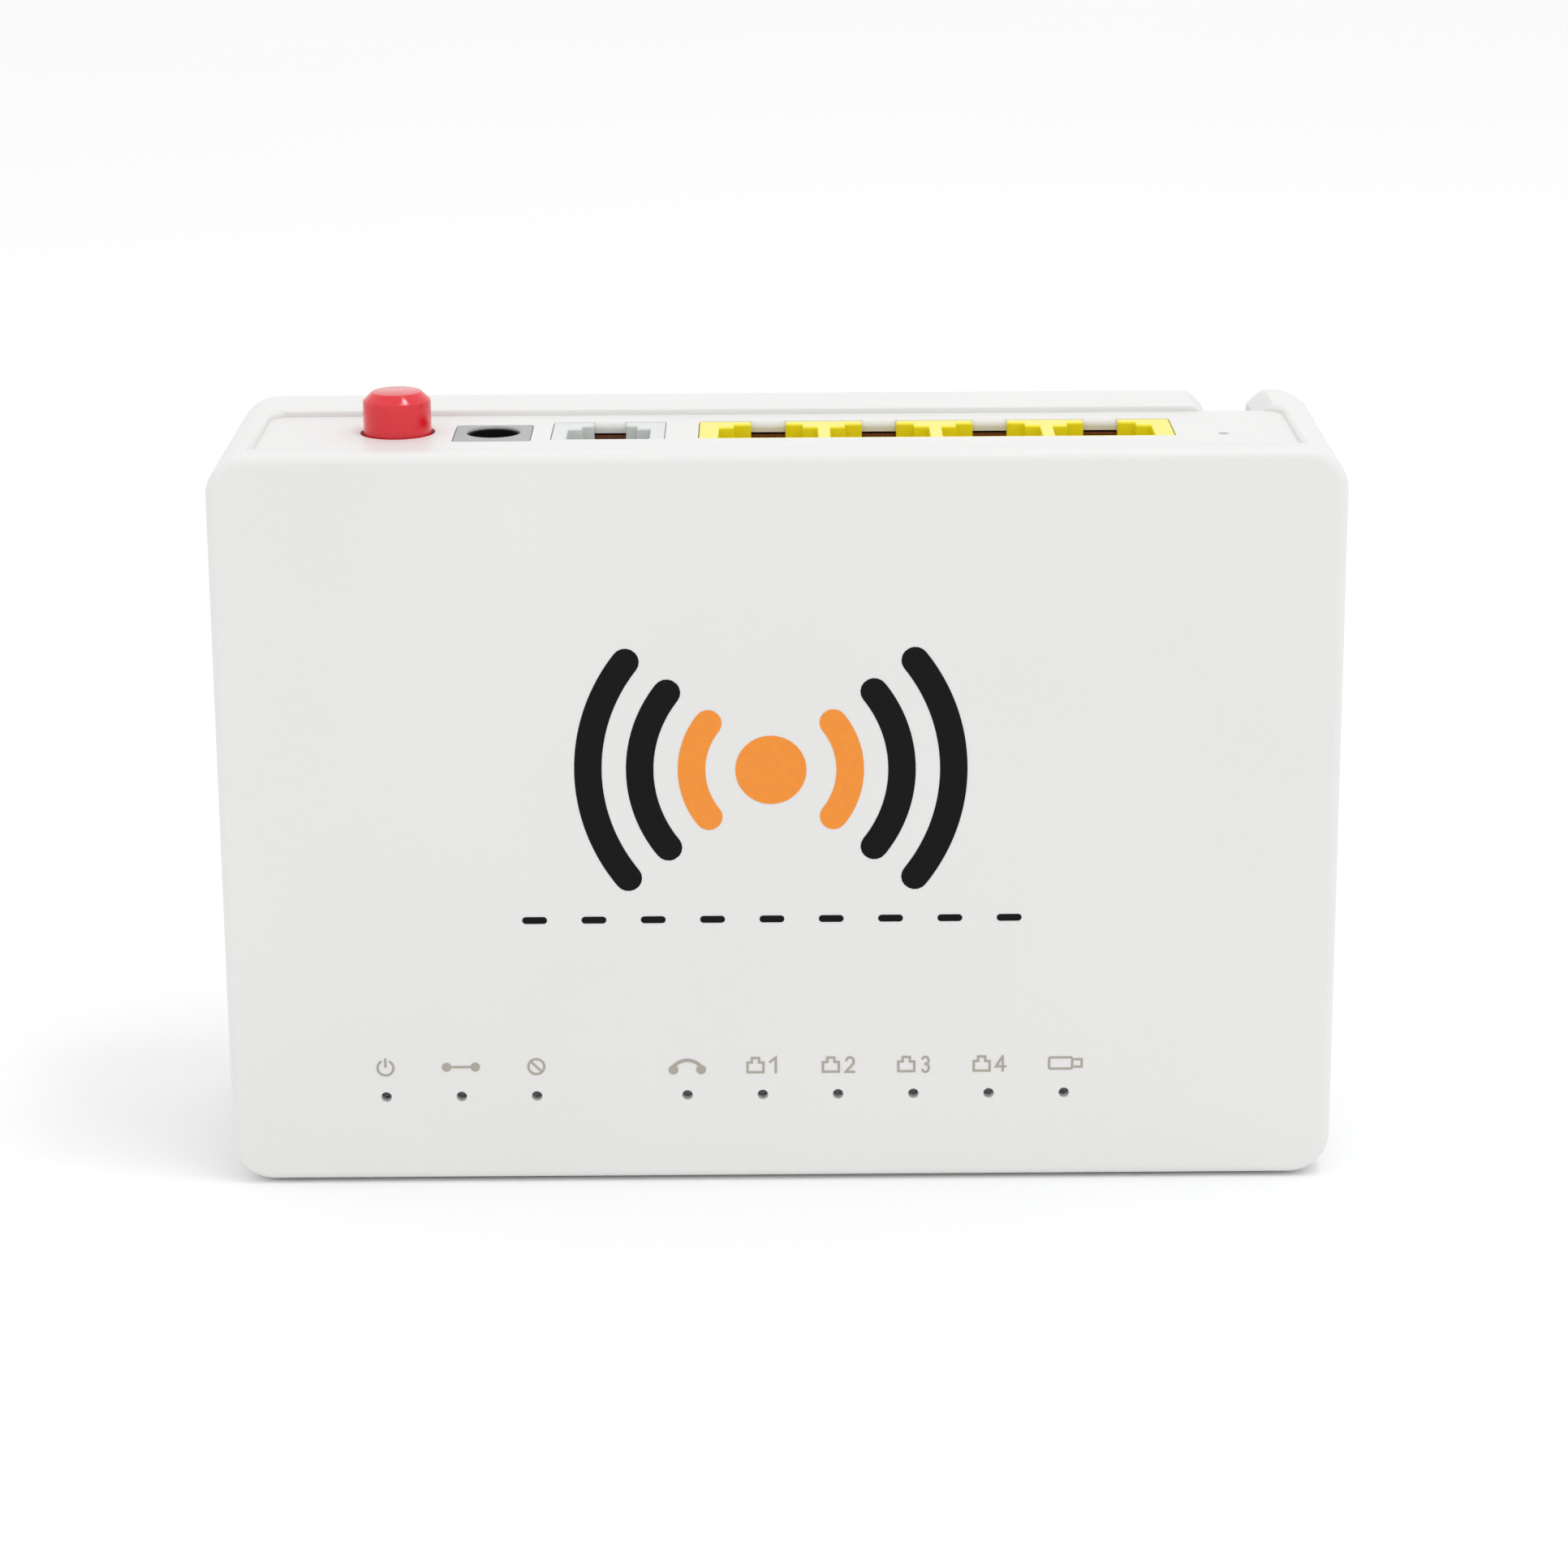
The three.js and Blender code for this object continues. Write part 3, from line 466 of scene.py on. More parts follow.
def blank_label():
    """A blank film label with a pale printed grid."""
    n = Nodes("label_film")
    grid = n.brick_lines(60.0, offset=0.0)
    base = n.ramp(grid, (0.0, (0.79, 0.79, 0.78)), (1.0, (0.55, 0.55, 0.55)))
    return n.finish(Base_Color=base, Roughness=n.between(n.noise(500.0), 0.3, 0.4))


SHELL = plastic(
    "shell_plastic",
    (0.762, 0.756, 0.746),
    0.42,
    grain=0.000012,
    grain_size=0.4,
    drift=0.012,
    Subsurface_Weight=0.18,
    Subsurface_Radius=(1.0, 0.95, 0.9),
    Subsurface_Scale=0.0008,
)
RED = plastic("red_plastic", (0.70, 0.014, 0.026), 0.14, grain=0.000002, drift=0.04, Coat_Weight=0.2)
WHITE = plastic("white_plastic", (0.74, 0.74, 0.70), 0.4)
GREY = plastic("socket_grey_plastic", (0.34, 0.345, 0.35), 0.36, grain=0.000006, grain_size=0.2)
PHONE_GREY = plastic("phone_socket_plastic", (0.70, 0.71, 0.69), 0.34, grain=0.000003, Subsurface_Weight=0.05)
YELLOW = plastic("yellow_plastic", (0.90, 0.78, 0.018), 0.16, grain=0.000002, drift=0.02)
BLACK = plastic("black_plastic", (0.012, 0.012, 0.013), 0.42, grain=0.000006)
# painted shade: a near-black, dull colour for the sleeve that makes the power socket's bore read as a dark
# hole
PAINTED_BORE_SHADE = plastic("bore_painted_shade", (0.006, 0.006, 0.006), 0.6, grain=0.000004, Specular_IOR_Level=0.1)
CHIP = plastic("chip_resin", (0.02, 0.02, 0.022), 0.55, grain=0.00001, grain_size=0.12)
GREEN = plastic("green_plastic", (0.02, 0.30, 0.085), 0.34, grain=0.000004)
FERRITE = plastic("ferrite", (0.05, 0.05, 0.055), 0.7, grain=0.00004, grain_size=0.25, drift=0.1)
LENS = plastic("light_lens", (0.80, 0.78, 0.60), 0.25, grain=0.000002, Transmission_Weight=0.35)
RUBBER = rubber("foot_rubber", (0.035, 0.035, 0.037))
TIN = metal("tinned_steel", (0.70, 0.71, 0.72), 0.26)
ZINC = metal("zinc_plated_steel", (0.62, 0.63, 0.66), 0.32, stretch=(600, 600, 600))
GOLD = metal("gold_flash", (0.83, 0.60, 0.26), 0.22)
ALUMINIUM = metal("anodised_aluminium", (0.50, 0.51, 0.53), 0.36, stretch=(60, 900, 900))
BOARD = circuit_board()
CLEAR = clear_plastic()
LABEL = blank_label()
INK_BLACK = ink("black_ink", (0.004, 0.004, 0.004))
INK_ORANGE = ink("orange_ink", (0.84, 0.28, 0.045))
INK_GREY = ink("grey_ink", (0.40, 0.37, 0.32))


# ---------------------------------------------------------------- front housing


def socket_ring(node, back_y):
    """The outline in X and Y of a socket's mouth, with room round it."""
    low, high = span(node)
    return rect(low.x - FIT_GAP, high.x + FIT_GAP, low.y - FIT_GAP, back_y + FIT_GAP, 0.5, 5)


def sunken_panel():
    """The tool that sinks the panel. Its front edge slopes down from the top side."""
    slope_y, slope_z = PANEL_Y0 - 2 * PANEL_RAMP, PANEL_Z + 2 * (TOP_Z - PANEL_Z)
    walls = rect(-PANEL_HALF_X, PANEL_HALF_X, slope_y, SEAM_Y + 0.02, 2.5)
    tool = to_object("panel_tool", opening(walls, PANEL_Z - 1, TOP_Z, PANEL_EDGE_R))
    above = rounded(
        [
            (slope_y - 1, slope_z, 0.1),
            (slope_y, slope_z, 0.1),
            (PANEL_Y0, PANEL_Z, 2.0),
            (SEAM_Y + 2, PANEL_Z, 0.1),
            (SEAM_Y + 2, TOP_Z + 2 * BEYOND, 0.1),
            (slope_y - 1, TOP_Z + 2 * BEYOND, 0.1),
        ]
    )
    meet(tool, sweep(above, [(-PANEL_HALF_X - BEYOND, 0.0), (PANEL_HALF_X + BEYOND, 0.0)], "X"))
    bm = bmesh.new()
    bm.from_mesh(tool.data)
    bpy.data.objects.remove(tool)
    return bm


def slot_edge(x, wide):
    """The tool that rounds off the panel's edge behind a latch slot."""
    y0, z0 = SOCKET_BACK_Y + FIT_GAP - 0.01, PANEL_Z + 0.01
    reach = SLOT_EDGE_R + 0.2
    profile = rounded(
        [
            (y0 - 1, z0 - reach, 0.05),
            (y0, z0 - reach, 0.05),
            (y0, z0, SLOT_EDGE_R),
            (y0 + reach, z0, 0.05),
            (y0 + reach, z0 + 1, 0.05),
            (y0 - 1, z0 + 1, 0.05),
        ],
        10,
    )
    return sweep(profile, [(x - wide / 2, 0.0), (x + wide / 2, 0.0)], "X")


def front_shell():
    outline = rect(FRONT_LO.x, FRONT_HI.x, FRONT_LO.z, TOP_Z, CORNER_R, 14)
    front = edge(FACE_Y, FRONT_EDGE_R, -1, 10)[::-1]
    seam = [(SEAM_Y - SEAM_CHAMFER, 0.0), (SEAM_Y, -SEAM_CHAMFER)]
    shell = to_object("front_shell", sweep(outline, front + seam, "Y"))

    inner = rect(FRONT_LO.x + WALL, FRONT_HI.x - WALL, WALL, PANEL_UNDER_Z, CORNER_R - WALL)
    cut(shell, sweep(inner, [(FACE_Y + FRONT_WALL, 0.0), (SEAM_Y + BEYOND, 0.0)], "Y"), sunken_panel())
    bosses = []
    for i in range(1, 5):
        bosses.append(bar(*middle(f"housing_screw_{i}").xz, HOUSING_BOSS_R, FACE_Y + 1, SEAM_Y - 0.2))
        bosses.append(bar(*middle(f"board_screw_{i}").xz, BOARD_BOSS_R, FACE_Y + 1, BOARD_LO.y - 0.1))
    join(shell, joined(bosses))

    button, pinhole = middle("power_button"), middle("reset_switch_plunger")
    low_z = PANEL_UNDER_Z - 1
    usb_lo, usb_hi = span("usb_shell")
    usb = rect(usb_lo.y - USB_GAP, usb_hi.y + USB_GAP, usb_lo.z - USB_GAP, usb_hi.z + USB_GAP, 0.8)
    holes = [
        opening(circle(*button.xy, BUTTON_HOLE_R, 72), low_z, PANEL_Z, HOLE_RIM),
        opening(socket_ring("lan_jack_block", SOCKET_BACK_Y), low_z, PANEL_Z, HOLE_RIM),
        opening(socket_ring("phone_jack_body", SOCKET_BACK_Y), low_z, PANEL_Z, HOLE_RIM),
        opening(socket_ring("dc_jack_body", POWER_FACE_BACK_Y), low_z, PANEL_Z, HOLE_RIM),
        opening(circle(*pinhole.xy, PINHOLE_R, 24), low_z, PANEL_Z, 0.15),
        opening(usb, FRONT_LO.x + WALL + 1, FRONT_LO.x, 0.3, -1, "X"),
    ]
    for name in LIGHTS:
        x, z = middle(f"light_{name}").xz
        holes.append(opening(circle(x, z, LIGHT_HOLE_R, 28), FACE_Y + FRONT_WALL + 1, FACE_Y, 0.14, -1, "Y"))
    for kind, r, deep in (("housing", 1.6, -8.0), ("board", 1.35, -7.0)):
        for i in range(1, 5):
            holes.append(bar(*middle(f"{kind}_screw_{i}").xz, r, deep, SEAM_Y + 1))
    slots = [slot_edge(x, LAN_SLOT) for x in LAN_CENTRES]
    slots.append(slot_edge(middle("phone_jack_body").x, PHONE_SLOT))
    cut(shell, joined(holes))
    cut(shell, joined(slots))
    place(shell, "enclosure", SHELL, ["front_housing"])


# ---------------------------------------------------------------- rear base

DOOR_LO, DOOR_HI = span("fibre_bay_door")
HINGE = next(j for j in frame["joints"] if j["name"] == "fibre_door_hinge")
HINGE_X, HINGE_Y = (v / MM for v in HINGE["pos_m"][:2])
DOOR_X0, DOOR_THICK = 48.5, 1.6
DOOR_GAP, HINGE_SIDE_GAP = 0.3, 0.6
KNUCKLES = ((40.0, 47.0), (76.0, 83.0))
KNUCKLE_R, PIN_R = 1.2, 0.6
BAY_X0, BAY_X1, BAY_Z0 = 49.0, 66.0, 34.0
HINGE_POST_Z = (35.0, 88.0)
GRIP_Z = [57.5 + 1.8 * i for i in range(5)]
THUMB_Z, THUMB_R = 61.0, 4.2  # a shallow recess beside the door, for a fingertip
NOTCH_HALF, NOTCH_FLARE = 2.9, 2.25
WELL_R, WELL_WALL = 3.3, 1.4
FOOT_SEAT_R, FOOT_SEAT_DEEP = 5.2, 0.6
KEYHOLE_X, KEYHOLE_Z, KEYHOLE_RISE = (-50.0, 20.0), 62.0, 8.0
KEYHOLE_R, KEYHOLE_SLOT_R = 4.0, 2.1
VENT_X0, VENT_PITCH, VENT_COUNT = -40.0, 6.0, 12
VENT_HALF, VENT_Z0, VENT_Z1 = 1.2, 12.0, 28.0


def keyhole(x):
    """A round hole with a narrower slot that rises from it, as a function that draws it d wider."""

    def ring(d=0.0):
        big, small = KEYHOLE_R + d, KEYHOLE_SLOT_R + d
        mouth = math.degrees(math.acos(small / big))
        top = arc(x, KEYHOLE_Z + KEYHOLE_RISE, small, 0, 180, 12)
        return arc(x, KEYHOLE_Z, big, 180 - mouth, 180 + 2 * mouth, 32) + top

    return ring


def rear_shell():
    outline = rect(REAR_LO.x, REAR_HI.x, REAR_LO.z, TOP_Z, CORNER_R, 14)
    seam_y = SEAM_Y + SEAM_GAP
    seam = edge(seam_y, SEAM_EDGE_R, -1, 4)[::-1]
    shell = to_object("rear_shell", sweep(outline, seam + edge(BACK_Y, BACK_EDGE_R, 1, 12), "Y"))
    lip_gap, lip_thick, lip_y = 0.25, 1.2, SEAM_Y - 1.5
    grown = rect(REAR_LO.x + WALL, REAR_HI.x - WALL, WALL, PANEL_UNDER_Z, CORNER_R - WALL)
    shoulder_y = seam_y + 1.5
    join(shell, sweep(grown, [(lip_y, -lip_gap), (shoulder_y - 0.5, -lip_gap)], "Y"))
    hollow = [(lip_y - 1, -lip_gap - lip_thick), (shoulder_y, -lip_gap - lip_thick), (shoulder_y, 0.0)]
    cut(shell, sweep(grown, hollow + [(PLATE_Y, 0.0)], "Y"))

    bay_wall, notch_x = 1.2, middle("optical_adapter").x
    bay_front = SEAM_Y - 1.3
    wells = [middle(f"housing_screw_{i}") for i in range(1, 5)]
    join(
        shell,
        cuboid(BAY_X0 - bay_wall, BAY_X1, bay_front, PLATE_Y + 1, BAY_Z0 - 2, PANEL_UNDER_Z - 1),
        cuboid(BAY_X0 - bay_wall, REAR_HI.x - 1, seam_y, PLATE_Y + 1, BAY_Z0 - 2, PANEL_UNDER_Z + 0.3),
        cuboid(HINGE_X - 2.6, BAY_X0, 14.6, PLATE_Y + 1, *HINGE_POST_Z),
        joined(bar(s.x, s.z, WELL_R + WELL_WALL, SEAM_Y, PLATE_Y + 1) for s in wells),
    )
    notch_wide = NOTCH_HALF + NOTCH_FLARE
    notch = rounded(
        [
            (notch_x - NOTCH_HALF, DOOR_HI.z - 1, 0.3),
            (notch_x + NOTCH_HALF, DOOR_HI.z - 1, 0.3),
            (notch_x + NOTCH_HALF, TOP_Z - NOTCH_FLARE, 0.8),
            (notch_x + notch_wide, TOP_Z, 0.5),
            (notch_x + notch_wide + BEYOND, TOP_Z + 0.2, 0.3),
            (notch_x + notch_wide + BEYOND, TOP_Z + BEYOND, 0.3),
            (notch_x - notch_wide - BEYOND, TOP_Z + BEYOND, 0.3),
            (notch_x - notch_wide - BEYOND, TOP_Z + 0.2, 0.3),
            (notch_x - notch_wide, TOP_Z, 2.2),
            (notch_x - NOTCH_HALF, TOP_Z - NOTCH_FLARE, 0.8),
        ]
    )
    door_x0, door_x1 = DOOR_X0 - HINGE_SIDE_GAP, DOOR_HI.x + DOOR_GAP
    door = rect(door_x0, door_x1, DOOR_LO.z - DOOR_GAP, DOOR_HI.z + DOOR_GAP, 0.8)
    adapter_y = middle("optical_adapter").y
    seat_x, seat_y = (notch_x - 6.6, notch_x + 6.6), (adapter_y - 4.85, adapter_y + 4.85)
    cut(
        shell,
        cuboid(BAY_X0, BAY_X1, SEAM_Y, PLATE_Y + 0.5, BAY_Z0, PANEL_UNDER_Z - 1.5),
        opening(door, BACK_Y - DOOR_THICK - 0.2, BACK_Y, 0.15, 1, "Y"),
        sweep(notch, [(SEAM_Y, 0.0), (BACK_Y - 0.6, 0.0), (BACK_Y, 0.35), (BACK_Y + 2, 1.4)], "Y"),
        cuboid(*seat_x, *seat_y, BAY_Z0 - 4, BAY_Z0 + 1),
        bar(DOOR_HI.x + 0.8, THUMB_Z, THUMB_R, BACK_Y - 1.1, BACK_Y + 1, sides=48),
        joined(cuboid(HINGE_X - 1.7, DOOR_X0 + 0.6, 16.2, BACK_Y + 1, a - 0.3, b + 0.3) for a, b in KNUCKLES),
        bar(HINGE_X, HINGE_Y, PIN_R + 0.15, 37, 86, "Z", 20),
    )
    tools = []
    for s in wells:
        tools.append(opening(circle(s.x, s.z, WELL_R, 40), SCREW_SEAT_Y, BACK_Y, 0.3, 1, "Y"))
    for i in range(1, 5):
        foot = circle(*middle(f"rubber_foot_{i}").xz, FOOT_SEAT_R, 56)
        tools.append(opening(foot, BACK_Y - FOOT_SEAT_DEEP, BACK_Y, 0.15, 1, "Y"))
    for x in KEYHOLE_X:
        tools.append(opening(keyhole(x), PLATE_Y - 1, BACK_Y, 0.25, 1, "Y"))
    for i in range(VENT_COUNT):
        x = VENT_X0 + i * VENT_PITCH
        slot = rect(x - VENT_HALF, x + VENT_HALF, VENT_Z0, VENT_Z1, VENT_HALF - 0.01, 6)
        tools.append(opening(slot, PLATE_Y - 1, BACK_Y, 0.25, 1, "Y"))
    cut(shell, joined(tools))
    cut(shell, joined(bar(s.x, s.z, 1.8, SEAM_Y - 1, SCREW_SEAT_Y + 1) for s in wells))
    place(shell, "enclosure", SHELL, ["rear_base"])


def bay_door():
    plate = rect(DOOR_X0, DOOR_HI.x, DOOR_LO.z, DOOR_HI.z, 0.6)
    door = to_object("bay_door", block(plate, BACK_Y - DOOR_THICK, BACK_Y, 0.1, 0.3, "Y"))
    for low, high in KNUCKLES:
        join(
            door,
            block(circle(HINGE_X, HINGE_Y, KNUCKLE_R, 40), low, high, 0.15, 0.15),
            cuboid(HINGE_X, DOOR_X0 + 0.5, BACK_Y - DOOR_THICK, BACK_Y - 0.05, low, high),
        )
    ribs = [cuboid(x, x + 1, DOOR_LO.y, BACK_Y - 1, 44, 84) for x in (BAY_X0 + 2, BAY_X1 - 3)]
    join(door, joined(ribs))
    grip = []
    for z in GRIP_Z:
        groove = rect(59.5, 63.5, z, z + 0.8, 0.39, 6)
        grip.append(opening(groove, BACK_Y - 0.35, BACK_Y, 0.15, 1, "Y"))
    cut(door, bar(HINGE_X, HINGE_Y, PIN_R + 0.1, 0, TOP_Z, "Z", 20), joined(grip))
    place(door, "fibre_door", SHELL, ["fibre_bay_door"])


# ---------------------------------------------------------------- feet and screws


def feet():
    for i in range(1, 5):
        low, high = span(f"rubber_foot_{i}")
        centre = (low + high) / 2
        r = (high.x - low.x) / 2
        disc = block(circle(centre.x, centre.z, r, 64), low.y, high.y, 0.05, 0.35, "Y")
        foot = to_object(f"foot_{i}", disc)
        cut(foot, opening(circle(centre.x, centre.z, r * 0.62, 56), high.y - 0.2, high.y, 0.1, 1, "Y"))
        place(foot, "enclosure", RUBBER, [f"rubber_foot_{i}"])


def screw(name, node, seat, head_r, head_thick, shank_r):
    """A pan-head screw with a cross recess and a thread."""
    low, high = span(node)
    x, z = middle(node).xz
    length = seat - low.y
    profile = [(0.0, low.y), (shank_r * 0.5, low.y), (shank_r * 0.8, low.y + 1)]
    pitch = 0.9
    for i in range(int((length - 2.5) / pitch)):
        y = low.y + 1.2 + i * pitch
        profile += [(shank_r * 0.8, y), (shank_r, y + pitch * 0.4), (shank_r * 0.8, y + pitch * 0.8)]
    profile += [(shank_r * 0.8, seat), (head_r - 0.1, seat), (head_r, seat + 0.15)]
    crown = arc(0.0, 0.0, 1.0, 8, 82, 6)
    profile += [(head_r * u, seat + head_thick * v) for u, v in crown]
    body = to_object(name, turned(x, z, profile, 40, "Y"))
    half, deep = head_r * 0.55, seat + head_thick * 0.35
    for u, v in ((half, 0.28), (0.28, half)):
        cut(body, cuboid(x - u, x + u, deep, high.y + 1, z - v, z + v))
    place(body, "enclosure", ZINC, [node])


def screws():
    for i in range(1, 5):
        screw(f"case_screw_{i}", f"housing_screw_{i}", SCREW_SEAT_Y + 0.05, 2.8, 2.0, 1.45)
        screw(f"circuit_screw_{i}", f"board_screw_{i}", BOARD_HI.y + 0.05, 2.3, 1.6, 1.2)


# ---------------------------------------------------------------- power button and switches


def push_button():
    low, high = span("power_button")
    centre = middle("power_button")
    r, top_r, inner_r, chamfer, soft = (high.x - low.x) / 2, 3.1, 3.5, 1.1, 0.14
    top, hollow_z = high.z, span("power_switch_spring")[1].z + 0.1
    slope = [
        (r, low.z + 0.2),
        (r, top - chamfer - soft),
        (r - soft * 0.25, top - chamfer),
        (r - soft * 0.9, top - chamfer + soft * 0.8),
        (top_r + soft * 0.8, top - soft * 0.9),
        (top_r, top - soft * 0.25),
        (top_r - soft, top),
    ]
    profile = [(0.0, hollow_z), (inner_r, hollow_z), (inner_r, low.z), (r - 0.2, low.z), *slope]
    button = to_object("push_button", turned(centre.x, centre.y, profile + [(0.0, top)], 96))
    stem = middle("power_switch_plunger")
    half, stem_top = 1.6, span("power_switch_plunger")[1].z + 0.1
    cut(button, cuboid(stem.x - half, stem.x + half, stem.y - half, stem.y + half, hollow_z - 1, stem_top))
    place(button, "power_button", RED, ["power_button"], sharp=60)


def coil_spring():
    """The return spring of the power button, with closed ends."""
    low, high = span("power_switch_spring")
    centre = middle("power_switch_spring")
    wire_r, turns, sides, per_turn = 0.25, 6, 10, 28
    radius = (high.x - low.x) / 2 - wire_r
    reach = high.z - low.z - 2 * wire_r
    rings = []
    for i in range(turns * per_turn + 1):
        t = i / (turns * per_turn)
        a = 2 * math.pi * turns * t
        rise = 0.5 - 0.5 * math.cos(math.pi * t)
        z = low.z + wire_r + reach * (0.35 * rise + 0.65 * t)
        out = Vector((math.cos(a), math.sin(a), 0))
        ring = []
        for k in range(sides):
            b = 2 * math.pi * k / sides
            offset = out * (radius + wire_r * math.cos(b)) + Vector((0, 0, wire_r * math.sin(b)))
            ring.append(Vector((centre.x, centre.y, z)) + offset)
        rings.append(ring)
    spring = to_object("return_spring", skin(rings))
    place(spring, "enclosure", TIN, ["power_switch_spring"])
    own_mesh(spring)


# ---------------------------------------------------------------- sockets in the top side


def power_socket():
    low, high = span("dc_jack_body")
    bore = middle("dc_jack_pin")
    bore_r, deep, chamfer, face_back = 3.3, high.z - 10, 1.0, POWER_FACE_BACK_Y
    inset = 0.3
    flange = rounded(
        [
            (low.x, low.y, 0.25),
            (high.x, low.y, 0.25),
            (high.x, face_back - chamfer, 0.2),
            (high.x - chamfer, face_back, 0.2),
            (low.x + chamfer, face_back, 0.2),
            (low.x, face_back - chamfer, 0.2),
        ]
    )
    jack = to_object("power_socket", block(flange, high.z - 2.5, high.z, 0.1, 0.22))
    case_ring = rect(low.x + inset, high.x - inset, low.y + inset, high.y, 0.4)
    join(jack, block(case_ring, low.z, high.z - 2.3, 0.2, 0.1))
    cut(jack, opening(circle(bore.x, bore.y, bore_r, 72), deep, high.z, 0.3))
    cut(jack, bar(bore.x, bore.y, 1.1, deep - 1.5, deep + 1, "Z"))
    place(jack, "enclosure", GREY, ["dc_jack_body"])

    # A thin near-black sleeve inside the bore, under the grey rim: painted shade that darkens the deep hole.
    shade_sleeve_profile = [
        (bore_r - 0.02, high.z - 0.32),
        (bore_r - 0.28, high.z - 0.4),
        (bore_r - 0.28, deep + 0.05),
        (bore_r - 0.02, deep + 0.05),
    ]
    shade_sleeve = to_object("power_socket_shade_sleeve", ring_solid(bore.x, bore.y, shade_sleeve_profile))
    place(shade_sleeve, "enclosure", PAINTED_BORE_SHADE)

    pin_lo, pin_hi = span("dc_jack_pin")
    r = (pin_hi.x - pin_lo.x) / 2
    tip = arc(0.0, pin_hi.z - r, r, 0, 90, 6)
    pin = to_object("power_socket_pin", turned(bore.x, bore.y, [(0.0, pin_lo.z), (r, pin_lo.z), *tip], 32))
    place(pin, "enclosure", TIN, ["dc_jack_pin"])


def ring_solid(x, y, profile):
    """A closed profile of (radius, z) points turned about a vertical axis."""
    sides = 72
    bm = bmesh.new()
    columns = []
    for i in range(sides):
        a = 2 * math.pi * i / sides
        columns.append([bm.verts.new((x + r * math.cos(a), y + r * math.sin(a), z)) for r, z in profile])
    for i in range(sides):
        a, b = columns[i], columns[(i + 1) % sides]
        for k in range(len(profile)):
            m = (k + 1) % len(profile)
            bm.faces.new((a[k], b[k], b[m], a[m]))
    bmesh.ops.recalc_face_normals(bm, faces=bm.faces)
    return bm


MOUTH_LIP, PLUG_DEEP, LATCH_DEEP = 0.8, 6.9, 8.7  # from the front of the block to each step of the mouth
MOUTH_FLOOR_Z, STEP_Z = 80.4, 85.4  # the slot of the latch ends at the upper of the two
CONTACT_PITCH, CONTACT_R = 1.02, 0.19


def modular_tools(x, low, high, widths):
    """The stepped mouth of a modular socket: plug, latch, and the latch's slot, which is open behind."""
    plug, latch, slot = (w / 2 for w in widths)
    front, plug_y, latch_y = (low.y + deep for deep in (MOUTH_LIP, PLUG_DEEP, LATCH_DEEP))
    mouth = rounded(
        [
            (x - plug, front, 0.25),
            (x + plug, front, 0.25),
            (x + plug, plug_y, 0.2),
            (x + latch, plug_y, 0.2),
            (x + latch, latch_y, 0.25),
            (x + slot, latch_y, 0.5),
            (x + slot, high.y + 2, 0.2),
            (x - slot, high.y + 2, 0.2),
            (x - slot, latch_y, 0.5),
            (x - latch, latch_y, 0.25),
            (x - latch, plug_y, 0.2),
            (x - plug, plug_y, 0.2),
        ]
    )
    return [
        opening(mouth, STEP_Z, high.z, 0.3),
        block(rect(x - plug, x + plug, front, plug_y, 0.2), MOUTH_FLOOR_Z, STEP_Z + 0.5),
        block(rect(x - latch, x + latch, low.y + 2, latch_y, 0.2), MOUTH_FLOOR_Z + 1, STEP_Z + 0.5),
    ]


def modular_socket(name, node, centres, widths, material):
    low, high = span(node)
    body = block(rect(low.x, high.x, low.y, high.y, 0.35), low.z, high.z, 0.3, 0.2)
    socket = to_object(name, body)
    for x in centres:
        cut(socket, *modular_tools(x, low, high, widths))
    place(socket, "enclosure", material, [node])


def contact_springs(name, node, count):
    """Bent gold wires in a moulded comb. Each rises along the socket's front wall and turns inwards."""
    low, high = span(node)
    x_mid = middle(node).x
    path = [
        (low.y + 0.2, low.z + 0.4),
        (low.y + 0.2, high.z - 0.55),
        (low.y + 0.3, high.z - 0.25),
        (low.y + 0.5, high.z - 0.3),
        (low.y + 1.38, low.z + 3.7),
    ]
    wires = []
    for i in range(count):
        x = x_mid + (i - (count - 1) / 2) * CONTACT_PITCH
        wires.append(wire_along([(x, y, z) for y, z in path], CONTACT_R))
    fingers = to_object(name, joined(wires))
    place(fingers, "enclosure", GOLD, [node])
    comb_ring = rect(low.x, high.x, low.y, low.y + 1.5, 0.2)
    comb = to_object(f"{name}_comb", block(comb_ring, low.z, low.z + 0.8))
    place(comb, "enclosure", BLACK)


def wire_along(points, r):
    """A thin round wire through points that have the same X, as a closed mesh."""
    places = [Vector(p) for p in points]
    sides, side = 8, Vector((1, 0, 0))
    rings = []
    for i, p in enumerate(places):
        along = (places[min(i + 1, len(places) - 1)] - places[max(i - 1, 0)]).normalized()
        up = along.cross(side).normalized()
        ring = []
        for k in range(sides):
            a = 2 * math.pi * (k + 0.5) / sides
            ring.append(p + (side * math.cos(a) + up * math.sin(a)) * r)
        rings.append(ring)
    return skin(rings)


def modular_sockets():
    widths = (12.3, 8.6, LAN_SLOT)
    modular_socket("data_sockets", "lan_jack_block", LAN_CENTRES, widths, YELLOW)
    for i in range(1, 5):
        contact_springs(f"data_contacts_{i}", f"lan_jack_contacts_{i}", 8)
    phone_x = middle("phone_jack_body").x
    widths = (10.3, 6.9, PHONE_SLOT)
    modular_socket("phone_socket", "phone_jack_body", [phone_x], widths, PHONE_GREY)
    contact_springs("phone_contacts", "phone_jack_contacts", 4)


# ---------------------------------------------------------------- USB and optical sockets


